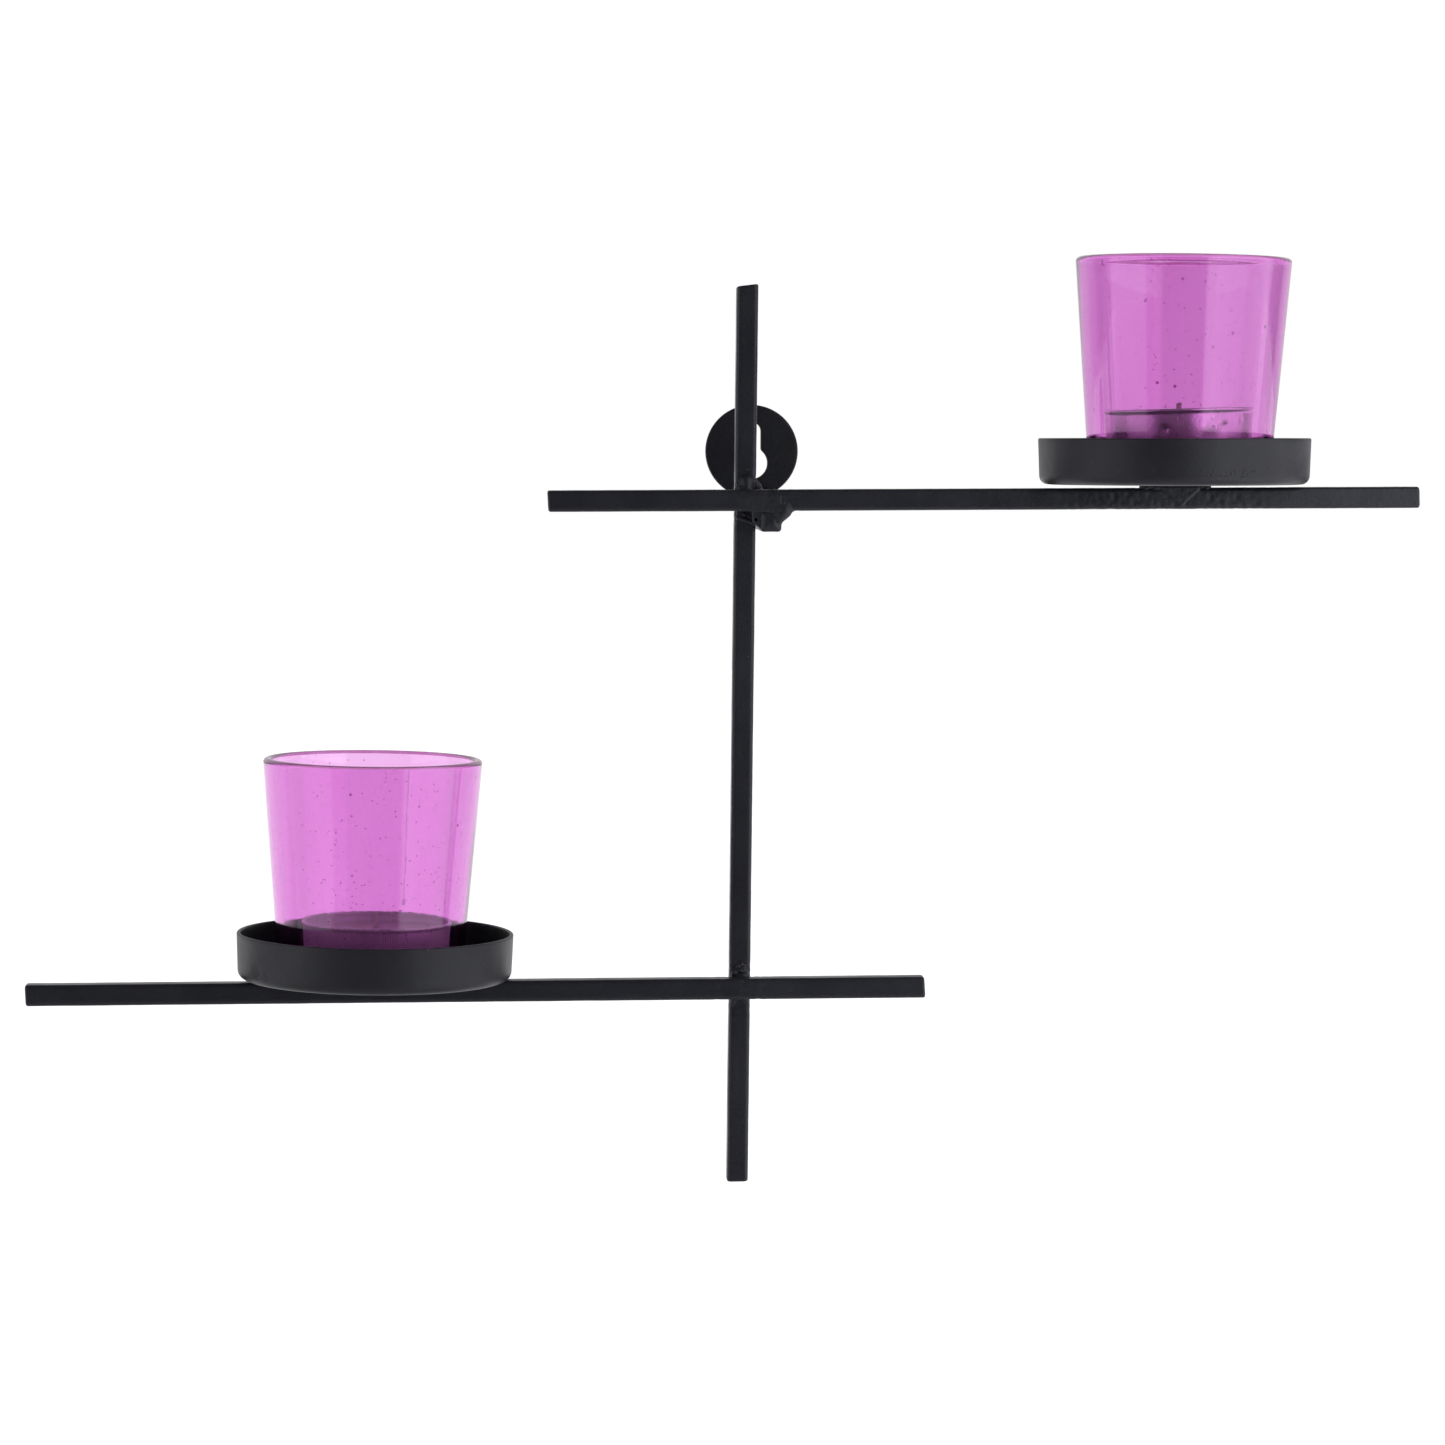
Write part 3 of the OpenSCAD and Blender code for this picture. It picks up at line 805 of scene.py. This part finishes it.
def weld(name, node, origin, runs, pits, solids, melt=0.35, cell=0.16, seed=1):
    """Weld metal melted onto the solids, replacing a CAD weld node. Each run is (soft, lumps):
    soft is how widely its lumps run out onto the solids, and melt how widely they run
    together. Lumps and pits are in millimetres from the origin. The mesh goes a little way
    into the solids."""
    origin = np.array(origin)

    def field(p):
        local = p - origin
        bars = np.minimum.reduce([solid(p) for solid in solids])
        skins = []
        for soft, metal in runs:
            lumps = metal[0](local)
            for lump in metal[1:]:
                lumps = blend_min(lumps, lump(local), melt * MM)
            skin = blend_min(lumps, bars + 0.12 * MM, soft * MM)
            skins.append(np.maximum(skin, lumps - 1.1 * soft * MM))
        skin = np.minimum.reduce(skins)
        for pit in pits:
            skin = -blend_min(-skin, pit(local), 0.15 * MM)
        return np.maximum(skin, -(bars + 0.9 * MM))

    box = node_box(node)
    margin = 3.5 * MM
    verts, faces = surface_net(field, box[0] - margin, box[1] + margin, cell * MM)
    obj = new_mesh(name, verts, faces)
    push_out(obj, lambda co: (0.05 * value_noise(co, 0.8 * MM, seed)
                              + 0.04 * value_noise(co, 2.0 * MM, seed + 1)) * MM)
    return finish_piece(obj, "frame", "weld_enamel", [WELD_ENAMEL], node)


def crossing_origin(arm):
    """Where an arm's top edge meets the post's front, on the post's axis."""
    z = arm_z(arm, post_x(arm[0][2])) + BAR / 2
    return np.array([post_x(z), POST_FRONT, z])


def dish_slab(name):
    """Signed distance to everything above a dish's underside, within its width."""
    base, direction, _ = cup_place(name)
    reach = node_box(name)[3][1] / 2 - DISH_BEND

    def distance(p):
        out = np.hypot(p[:, 0] - base[0], p[:, 1] - base[1]) - reach
        return np.maximum(-((p - base) @ direction), out)
    return distance


def plate_field(name):
    """Signed distance to a plate standing against the wall, without its hole."""
    low, _, centre, size = node_box(name)

    def distance(p):
        out = np.hypot(p[:, 0] - centre[0], p[:, 2] - centre[2]) - size[0] / 2
        return np.maximum(np.maximum(low[1] - p[:, 1], p[:, 1]), out)
    return distance


def wedge(corners, front, back, rounding):
    """Rough signed distance to an upright plate with the given (x, z) corners, anticlockwise
    from the front, and rounded edges."""
    corners = np.array(corners) * MM
    sides = np.roll(corners, -1, axis=0) - corners
    normals = np.stack([sides[:, 1], -sides[:, 0]], 1) / np.linalg.norm(sides, axis=1)[:, None]

    def distance(p):
        flat = ((p[:, None, [0, 2]] - corners) * normals).sum(2) + rounding * MM
        deep = np.stack([front * MM - p[:, 1], p[:, 1] - back * MM], 1) + rounding * MM
        q = np.stack([flat.max(1), deep.max(1)], 1)
        return np.linalg.norm(np.maximum(q, 0), axis=1) + np.minimum(q.max(1), 0) - rounding * MM
    return distance


POST_FIELD, UPPER_FIELD, LOWER_FIELD = (bar_field(*bar) for bar in (POST, UPPER_ARM, LOWER_ARM))
STANDOFF_LOW, STANDOFF_HIGH, _, STANDOFF_SIZE = node_box("standoff_bar")
LEVEL_SIZE = STANDOFF_SIZE * (1, 1, 0) + (0, 0, BAR)
TOE_SIZE = STANDOFF_SIZE * (1, 0, 1) + (0, BAR, 0)
STANDOFF_FIELD = block_field(STANDOFF_LOW + LEVEL_SIZE / 2, LEVEL_SIZE)
TOE_FIELD = block_field(STANDOFF_HIGH - TOE_SIZE / 2, TOE_SIZE)

# Smooth dome on the post above the upper arm, with small lumps at its left, a fillet at the
# post's right side and a little open blister above.
weld("upper_crossing_bead", "upper_crossing_weld", crossing_origin(UPPER_ARM),
     [(0.5, [rod((0.2, 0.3, -0.4), (0.2, 0.4, 1.85), 2.1, 2.0), ball((-1.7, 0.1, 1.0), 0.75),
             ball((-2.1, 0.3, 0.1), 0.7), ball((-1.2, -0.7, 0.1), 0.9)]),
      (2.1, [rod((3.1, 0.9, 0.5), (3.1, 3.2, 0.5), 1.1)]),
      (0.2, [ball((0.45, 0.1, 5.0), 0.48)])],
     [ball((0.47, -0.45, 5.05), 0.28)], [POST_FIELD, UPPER_FIELD], melt=0.3, seed=3)

# Rippled dome above the lower arm, with a lump at its left, and two wedges below the arm.
weld("lower_crossing_bead", "lower_crossing_weld", crossing_origin(LOWER_ARM),
     [(0.4, [rod((-0.9, 0.3, 0.2), (0.8, 0.3, 0.2), 1.35),
             rod((-0.6, 0.3, 1.3), (0.7, 0.3, 1.3), 1.4),
             rod((-0.2, 0.35, 2.2), (0.6, 0.4, 2.2), 1.15), ball((0.2, 0.3, 2.9), 0.95),
             ball((-1.5, -0.7, 0.9), 0.85), ball((-1.7, 0.1, 0.1), 0.7),
             ball((1.4, -0.1, 1.2), 0.7), ball((0.1, -0.9, 1.5), 0.6),
             ball((0.8, -0.7, 2.2), 0.5), ball((-0.6, -0.5, 2.6), 0.5),
             ball((1.2, 0.0, 2.9), 0.4), ball((-0.8, 0.1, 3.2), 0.35)]),
      (0.35, [rod((-1.35, 0.3, -5.5), (-2.15, 0.6, -8.3), 1.2, 0.35),
              rod((1.3, 0.3, -5.5), (2.0, 0.6, -8.1), 1.15, 0.35), ball((0.1, 0.4, -5.4), 1.0)])],
     [ball((-0.9, -1.5, 1.7), 0.3), ball((0.6, -1.2, 2.9), 0.3), ball((1.8, -0.8, 2.1), 0.25)],
     [POST_FIELD, LOWER_FIELD], melt=0.1, cell=0.13, seed=7)

# Weld round the stand-off's front end: a pitted fillet at its right, lumps across the post,
# a bridge that leaves a small hole at the post's edge, a smooth patch on the arm's front and
# three drops beside it.
STANDOFF_ORIGIN = np.array([(STANDOFF_LOW[0] + STANDOFF_HIGH[0]) / 2, ARM_FRONT,
                            arm_z(UPPER_ARM, STANDOFF_LOW[0]) - BAR / 2])
weld("standoff_bead", "standoff_weld", STANDOFF_ORIGIN,
     [(2.6, [rod((3.4, 0.9, -0.7), (3.4, 4.6, -0.7), 1.3)]),
      (0.5, [wedge([(-8.5, 0.3), (-8.4, -1.9), (-3.4, -3.6), (-3.4, 0.3)], 4.75, 6.5, 0.4),
             ball((-8.0, 5.3, -1.8), 0.7), ball((-7.0, 5.2, -2.2), 0.75),
             ball((-6.0, 5.2, -2.5), 0.8), ball((-5.0, 5.1, -2.9), 0.75),
             ball((-4.1, 5.0, -3.2), 0.7), ball((-6.6, 5.0, -0.9), 0.5),
             ball((-5.2, 5.0, -1.5), 0.45)]),
      (0.35, [wedge([(-4.9, 0.2), (-4.5, -3.0), (-2.3, -4.75), (-1.9, 0.2)], 0.6, 5.4, 0.35)]),
      (0.35, [wedge([(-8.4, 3.9), (-8.0, 0.1), (2.5, -0.6), (2.7, 4.0)], -0.1, 0.8, 0.3)]),
      (0.12, [ball((3.2, 0.05, 3.7), 0.26), ball((3.25, 0.05, 2.2), 0.3),
              ball((3.2, 0.05, 0.8), 0.28)])],
     [rod((-3.85, 0.0, -2.2), (-3.85, 3.6, -2.3), 0.42), ball((4.2, 1.5, -1.9), 0.3),
      ball((4.9, 1.2, -1.2), 0.25), ball((3.6, 1.6, -2.7), 0.25), ball((5.4, 1.0, -0.6), 0.2),
      ball((3.9, 0.7, -1.3), 0.25)],
     [POST_FIELD, UPPER_FIELD, STANDOFF_FIELD], melt=0.25, cell=0.14, seed=11)

# Beads that hold the turned-up end of the stand-off to the wall plate's lower edge.
PLATE_FACE = node_box("hanger_plate")[0]
weld("hanger_plate_bead", "hanger_plate_weld",
     (STANDOFF_ORIGIN[0], PLATE_FACE[1], PLATE_FACE[2]),
     [(0.9, [rod((-2.7, -0.1, 0.4), (-2.7, -0.2, 1.5), 0.9),
             rod((2.7, -0.1, 0.3), (2.7, -0.2, 1.4), 0.95)]),
      (0.5, [rod((-2.3, 1.0, 0.1), (2.3, 1.0, 0.2), 0.65), ball((-1.0, 1.0, -0.1), 0.6),
             ball((1.1, 1.0, -0.1), 0.6)])], [],
     [plate_field("hanger_plate"), TOE_FIELD], seed=15)


def dish_origin(dish_name, arm):
    """Point on the arm's top front edge, under the middle of a dish."""
    x = node_box(dish_name)[2][0]
    return np.array([x, ARM_FRONT, arm_z(arm, x) + BAR / 2])


# The upper dish's weld has run down the arm's front in a smooth wedge, and fills part of the
# gap between the arm and the dish.
weld("upper_dish_bead", "upper_dish_weld", dish_origin("upper_dish", UPPER_ARM),
     [(0.25, [wedge([(-4.7, 0.4), (1.6, -4.6), (6.4, 0.4)], -0.35, 0.8, 0.3),
              rod((5.9, 0.25, -0.3), (1.8, 0.3, -4.1), 0.5, 0.4)]),
      (0.3, [rod((-9.5, 0.9, 0.25), (16.0, 0.9, 0.25), 0.5),
             rod((20.5, 0.9, 0.25), (26.0, 0.9, 0.25), 0.5),
             rod((-5.0, 0.5, 0.1), (6.0, 0.5, 0.1), 0.6), ball((8.2, 0.4, 0.1), 0.5),
             ball((-7.4, 0.45, 0.0), 0.45)]),
      (0.9, [rod((-5.0, 4.9, 0.1), (6.0, 4.9, 0.1), 1.0)])],
     [], [UPPER_FIELD, dish_slab("upper_dish")], melt=0.4, seed=19)
weld("lower_dish_bead", "lower_dish_weld", dish_origin("lower_dish", LOWER_ARM),
     [(0.7, [rod((-5.0, 0.4, 0.2), (5.0, 0.4, 0.1), 1.0), ball((-3.0, 0.2, 0.0), 0.8),
             ball((1.0, 0.2, -0.1), 0.85), ball((3.8, 0.2, 0.0), 0.75),
             rod((-5.0, 2.6, 0.4), (5.0, 2.6, 0.3), 1.0)]),
      (0.9, [rod((-5.0, 5.1, 0.2), (5.0, 5.1, 0.1), 1.0)])],
     [], [LOWER_FIELD, dish_slab("lower_dish")], melt=0.3, seed=23)


def spatter(name, body, spots):
    """Small squashed drops of weld metal. Each spot is (point, outward direction, radius)."""
    verts, faces = [], []
    for point, outward, radius in spots:
        bm = bmesh.new()
        bmesh.ops.create_icosphere(bm, subdivisions=2, radius=radius)
        turned = Vector(outward).to_track_quat("Z", "Y").to_matrix().to_4x4()
        bm.transform(Matrix.Translation(Vector(point)) @ turned @ Matrix.Diagonal((1, 1, 0.6, 1)))
        start = len(verts)
        verts += [v.co[:] for v in bm.verts]
        faces += [[start + v.index for v in f.verts] for f in bm.faces]
        bm.free()
    obj = new_mesh(name, verts, faces)
    push_out(obj, lambda co: 0.05 * MM * value_noise(co, 0.25 * MM, 5))
    return finish_piece(obj, body, "weld_enamel", [WELD_ENAMEL])


def dish_spatter():
    """Drops round the lower edge of the upper dish's front, right of its middle."""
    low, _, centre, size = node_box("upper_dish")
    spots = []
    for _ in range(46):
        x = RNG.normal(9.5, 4.5) * MM
        z = abs(RNG.normal(0, 1.1)) * MM + 2.2 * MM
        reach = size[1] / 2 - (size[2] - z) * math.tan(DISH_FLARE) - 0.28 * MM
        y = -math.sqrt(reach ** 2 - x ** 2)
        out = (x / reach, y / reach, 0)
        point = (centre[0] + x, centre[1] + y, low[2] + z)
        spots.append((point, out, RNG.uniform(0.12, 0.32) * MM))
    return spots


spatter("upper_dish_spatter", "frame", dish_spatter())


# ---- Glass cups ----

GLASS_WALL = 2.2 * MM
GLASS_FLOOR = 2.5 * MM
GLASS_FLARE = math.radians(4.6)
GLASS_BEND = 2.6 * MM


def glass_cup(name, node, body, seed, swollen, run):
    """Pressed glass cup, lacquered purple outside and over its lip, bare inside. All its faces
    are moved out by swollen; run is its lacquer's run, or None."""
    base, direction, height = cup_place(node)
    top_r = node_box(node)[3][1] / 2
    foot_r = top_r - height * math.tan(GLASS_FLARE)
    wall = GLASS_WALL / math.cos(GLASS_FLARE)
    lip = 0.49 * GLASS_WALL
    floor_r = foot_r + GLASS_FLOOR * math.tan(GLASS_FLARE) - wall
    path = outline([(0, 0.5 * MM), (0.62 * foot_r, 0.4 * MM, 4 * MM), (0.8 * foot_r, 0, 3 * MM),
                    (foot_r, 0, GLASS_BEND), (top_r, height, lip), (top_r - wall, height, lip),
                    (floor_r, GLASS_FLOOR, 2.4 * MM), (0, GLASS_FLOOR)], 1.0 * MM, 8)
    obj = lathe(name, path, SEGMENTS)

    def wavy(co, angle):
        stretched = co * np.array([1, 1, 0.35])
        outer = is_outer(co)
        wave = np.where(outer, 0.11 * value_noise(stretched, 15 * MM, seed),
                        0.09 * value_noise(stretched, 18 * MM, seed + 2))
        return wave * MM * fade(co[:, 2], 2 * MM, 9 * MM) + swollen

    def is_outer(co):
        radius = np.hypot(co[:, 0], co[:, 1])
        middle = foot_r + co[:, 2] * math.tan(GLASS_FLARE) - wall / 2
        return (radius > middle) | (co[:, 2] < GLASS_FLOOR / 2)

    centres = np.array([p.center for p in obj.data.polygons])
    part = np.where(is_outer(centres), 0, 1)
    part[centres[:, 2] > height - 0.8 * MM] = 2
    swell(obj, wavy)
    place(obj, stand(base, direction))
    lacquer = purple_coat(name + "_lacquer", base, run)
    finish_piece(obj, body, "purple_glass", [lacquer, CLEAR_FACE, LIP], node)
    obj.data.polygons.foreach_set("material_index", part.tolist())
    return obj


glass_cup("upper_votive_glass", "upper_glass_cup", "upper_cup", 4, -0.15 * MM, None)
glass_cup("lower_votive_glass", "lower_glass_cup", "lower_cup", 9, 0.2 * MM,
          (8.0 * MM, 0.0455, 21 * MM))


# ---- Tealights ----

FOIL_WALL = 0.4 * MM
FOIL_FLARE = math.radians(2.0)
RIM_ROLL = 0.45 * MM
WAX_DROP = 2.4 * MM


def tealight_foil(tier, flutes, depth, crimp, dents, seed):
    """Drawn aluminium cup with a rolled rim. It may have flutes round its wall, pressed to a
    depth; crimp is how far its rim wanders up and down. Returns its place and foot radius."""
    node = tier + "_tealight_cup"
    base, direction, height = cup_place(node)
    rim_r = node_box(node)[3][1] / 2
    wall_r, wall_h = rim_r - RIM_ROLL, height - RIM_ROLL
    foot_r = wall_r - wall_h * math.tan(FOIL_FLARE)
    roll = [(wall_r + RIM_ROLL * math.cos(a), wall_h + RIM_ROLL * math.sin(a))
            for a in np.radians(np.linspace(-70, 235, 12))]
    foot = outline([(0, 0), (foot_r, 0, 1.2 * MM), roll[0]], 0.8 * MM)
    inside = outline([roll[-1], (foot_r - FOIL_WALL, FOIL_WALL, 0.9 * MM), (0, FOIL_WALL)],
                     0.8 * MM)
    segments = 4 * flutes if flutes else SEGMENTS
    obj = lathe(node.replace("cup", "foil"), foot + roll[1:-1] + inside, segments)

    def pressed(co, angle):
        wall = fade(co[:, 2], 0.8 * MM, 2.0 * MM) * (1 - fade(co[:, 2], wall_h - 1.0 * MM, wall_h))
        grow = 0.10 * MM * value_noise(co, 5 * MM, seed) * fade(co[:, 2], 1 * MM, 3 * MM)
        if flutes:
            uneven = 0.6 + 0.4 * value_noise(co * np.array([1, 1, 0.05]), 1.6 * MM, seed + 4)
            grow += depth * (np.cos(flutes * angle) - 1) * wall * uneven
        for turn, z, deep, width in dents:
            away = turn_between(angle, turn) * rim_r
            grow -= deep * (1 - fade(np.hypot(away, co[:, 2] - z), 0.2 * width, width))
        return grow - 0.05 * MM

    swell(obj, pressed)
    co = mesh_points(obj)
    ragged = crimp * (value_noise(co * np.array([1, 1, 0]), 0.7 * MM, seed + 7) - 0.4)
    co[:, 2] += ragged * fade(co[:, 2], wall_h - 1.0 * MM, wall_h)
    set_points(obj, co)
    place(obj, stand(base, direction))
    finish_piece(obj, tier + "_tealight", "tealight_aluminium", [FOIL[tier]], node)
    return base, direction, height, foot_r


def tealight_wax(tier, base, direction, height, foot_r, seed):
    """Poured wax: drawn up at the foil and round the wick, a little sunk between."""
    level = height - WAX_DROP - FOIL_WALL
    gap = 0.14 * MM
    foot = foot_r - FOIL_WALL - gap
    top = foot + level * math.tan(FOIL_FLARE)
    path = outline([(0, 0), (foot, 0, 1.1 * MM), (top, level, 0.15 * MM),
                    (top - 1.2 * MM, level - 0.5 * MM, 1.0 * MM),
                    (0.5 * top, level - 0.7 * MM, 3 * MM),
                    (2.2 * MM, level - 0.5 * MM, 1.0 * MM), (0.9 * MM, level + 0.15 * MM, 0.3 * MM),
                    (0, level + 0.2 * MM)], 0.7 * MM)
    obj = lathe(tier + "_poured_wax", path, 144)
    co = mesh_points(obj)
    rise = 0.14 * MM * value_noise(co, 4 * MM, seed)
    rise *= fade(co[:, 2], level - 1.5 * MM, level - 0.6 * MM)
    co[:, 2] += rise + FOIL_WALL + 0.02 * MM
    set_points(obj, co)
    place(obj, stand(base, direction))
    return finish_piece(obj, tier + "_tealight", "candle_wax", [WAX], tier + "_tealight_wax")


def tealight_wick(tier, base, direction, lean):
    """Three cotton strands twisted together, trimmed square and leaning over at the top."""
    node = tier + "_tealight_wick"
    low, high, _, size = node_box(node)
    radius = size[1] / 2
    foot = FOIL_WALL + 0.2 * MM
    tall = high[2] - low[2]
    segments, twist = 36, 2 * math.pi / (3.6 * MM)
    angles = full_turn(segments)
    rings = []
    for z in np.arange(0, tall, 0.22 * MM):
        lobes = 0.80 + 0.20 * np.abs(np.cos(1.5 * (angles - twist * z)))
        reach = radius * lobes * (0.55 if z > tall - 0.25 * MM else 1)
        shift = lean * fade(z, tall - 5 * MM, tall + 2 * MM)
        rings.append(np.column_stack([reach * np.cos(angles) + shift, reach * np.sin(angles),
                                      np.full(segments, z + foot)]))
    verts, faces = ring_stack(rings, closed_ends=True)
    obj = place(new_mesh(tier + "_braided_wick", verts, faces), stand(base, direction))
    return finish_piece(obj, tier + "_tealight", "wick_cotton", [COTTON], node)


def wick_foot(tier, base, direction):
    """Stamped foot with a stiffening ring and a neck crimped round the wick."""
    node = tier + "_wick_sustainer"
    reach = node_box(node)[3][1] / 2 - 0.02 * MM
    sheet, neck_r, neck_h = 0.3 * MM, 1.15 * MM, 3.2 * MM
    path = outline([(0, 0), (reach, 0, 0.1 * MM), (reach, sheet, 0.1 * MM),
                    (0.72 * reach, sheet, 0.2 * MM), (0.64 * reach, 1.9 * sheet, 0.2 * MM),
                    (0.54 * reach, 1.9 * sheet, 0.2 * MM), (0.46 * reach, sheet, 0.2 * MM),
                    (neck_r, sheet, 0.3 * MM), (neck_r, neck_h, 0.15 * MM), (0, neck_h)], 0.35 * MM)
    obj = lathe(tier + "_stamped_wick_foot", path, 72)
    swell(obj, lambda co, angle: -0.12 * MM * np.maximum(np.cos(4 * angle), 0)
          * fade(co[:, 2], 1.6 * MM, 2.6 * MM))
    place(obj, stand(base + direction * (FOIL_WALL + 0.02 * MM), direction))
    return finish_piece(obj, tier + "_tealight", "sustainer_tinplate", [TINPLATE], node)


def tealight(tier, flutes, depth, crimp, dents, lean, seed):
    """A whole tealight. Dents are (angle in degrees, height, depth, width)."""
    base, direction, height, foot_r = tealight_foil(tier, flutes, depth, crimp, dents, seed)
    tealight_wax(tier, base, direction, height, foot_r, seed)
    wick_foot(tier, base, direction)
    tealight_wick(tier, base, direction, lean)


tealight("upper", 0, 0, 0.05 * MM,
         [(-110, 9.5 * MM, 0.35 * MM, 1.6 * MM), (-62, 10 * MM, 0.3 * MM, 1.4 * MM),
          (-45, 11.5 * MM, 0.2 * MM, 1.0 * MM), (-75, 7 * MM, 0.15 * MM, 3.5 * MM)], 0.5 * MM, 13)
tealight("lower", 190, 0.05 * MM, 0.25 * MM, [(-50, 6 * MM, 0.3 * MM, 2.0 * MM)], -0.9 * MM, 21)


# ---- Camera, light and floor ----

def aim(obj, target):
    obj.rotation_mode = "QUATERNION"
    obj.rotation_quaternion = (Vector(target) - obj.location).to_track_quat("-Z", "Y")


def make_camera():
    """A long lens, a little to the left of the object and a little above its middle."""
    distance = 1.0414
    yaw, pitch = math.radians(3.3), math.radians(4.08)
    aside, above = -0.8 * MM, 0.27 * MM
    middle = (Vector(CAD_BOUNDS[0]) + Vector(CAD_BOUNDS[1])) / 2
    target = Vector((middle.x + aside, node_box("upper_arm")[2][1], middle.z + above))
    forward = Vector((math.sin(yaw) * math.cos(pitch), math.cos(yaw) * math.cos(pitch),
                      -math.sin(pitch)))
    data = bpy.data.cameras.new("camera")
    data.lens = 102.15
    data.sensor_width = 36.0
    data.clip_start, data.clip_end = 0.05, 50
    camera = bpy.data.objects.new("camera", data)
    bpy.context.scene.collection.objects.link(camera)
    camera.location = target - forward * distance
    aim(camera, target)
    bpy.context.scene.camera = camera


def soft_panel(name, near, far, low, high, radiance, edge=0.14, layers=4):
    """Upright panel between two (x, y) points that fades out towards both its sides: layers of
    the same middle, each narrower than the one before."""
    near, far = np.array(near), np.array(far)
    for k in range(layers):
        shrink = (far - near) * edge * k / layers
        light_panel(f"{name}_{k}", near + shrink, far - shrink, low, high, radiance / layers)


def light_panel(name, near, far, low, high, radiance):
    """Upright panel between two (x, y) points, facing the object, unseen by the camera."""
    width, tall = float(np.linalg.norm(far - near)), high - low
    data = bpy.data.lights.new(name, "AREA")
    data.shape = "RECTANGLE"
    data.size, data.size_y = width, tall
    data.energy = radiance * math.pi * width * tall
    light = bpy.data.objects.new(name, data)
    bpy.context.scene.collection.objects.link(light)
    middle = Vector(((near[0] + far[0]) / 2, (near[1] + far[1]) / 2, (low + high) / 2))
    across = Vector((far[0] - near[0], far[1] - near[1], 0)).normalized()
    facing = across.cross(Vector((0, 0, 1)))
    if facing.dot(Vector((0, 0, middle.z)) - middle) < 0:
        facing = -facing
    light.location = middle
    aim(light, middle + facing)
    light.visible_camera = False


def make_world():
    """A studio, pale behind the object and dark elsewhere. The camera sees it white, and
    reflections see it dimmed unless they come through glass."""
    n = Nodes("studio", "worlds", "Background", "Generated")
    bpy.context.scene.world = n.owner
    pale = n.span(n.xyz(n.coords)[1], 0.45, 0.75, 0.13, 1.0)
    path = n.add("ShaderNodeLightPath")
    seen = n.fill(n.add("ShaderNodeMix"), Factor=path.outputs["Transmission Depth"],
                  A=n.math("MULTIPLY", pale, 0.75), B=pale)
    strength = n.math("MAXIMUM", seen.outputs["Result"], path.outputs["Is Camera Ray"])
    n.set(Color=(1.0, 1.0, 1.0), Strength=strength)


def make_floor():
    """Plain pale floor, brighter behind the object, where it melts into the background."""
    reach, under = 6.0, 0.22
    obj = new_mesh("floor", [(-reach, -reach, 0), (reach, -reach, 0), (reach, reach, 0),
                             (-reach, reach, 0)], [(0, 1, 2, 3)], False)
    obj.location.z = CAD_BOUNDS[0][2] - under
    n = Nodes("floor_white")
    n.set(Base_Color=(0.7, 0.7, 0.7), Roughness=0.9, Emission_Color=(1.0, 1.0, 1.0),
          Emission_Strength=n.span(n.xyz(n.coords)[1], -0.1, 0.5))
    obj.data.materials.append(n.owner)


make_camera()
make_world()
make_floor()
PANEL_LOW, PANEL_HIGH = CAD_BOUNDS[0][2] - 0.20, CAD_BOUNDS[1][2] + 0.50
LEFT_LIGHT, RIGHT_LIGHT = 3.4, 4.3
soft_panel("left_panel", (-0.837, -0.83), (-0.80, 0.03), PANEL_LOW, PANEL_HIGH, LEFT_LIGHT)
soft_panel("right_panel", (0.245, -0.555), (0.52, 0.015), PANEL_LOW, PANEL_HIGH, RIGHT_LIGHT)
bpy.context.scene.view_settings.view_transform = "Standard"
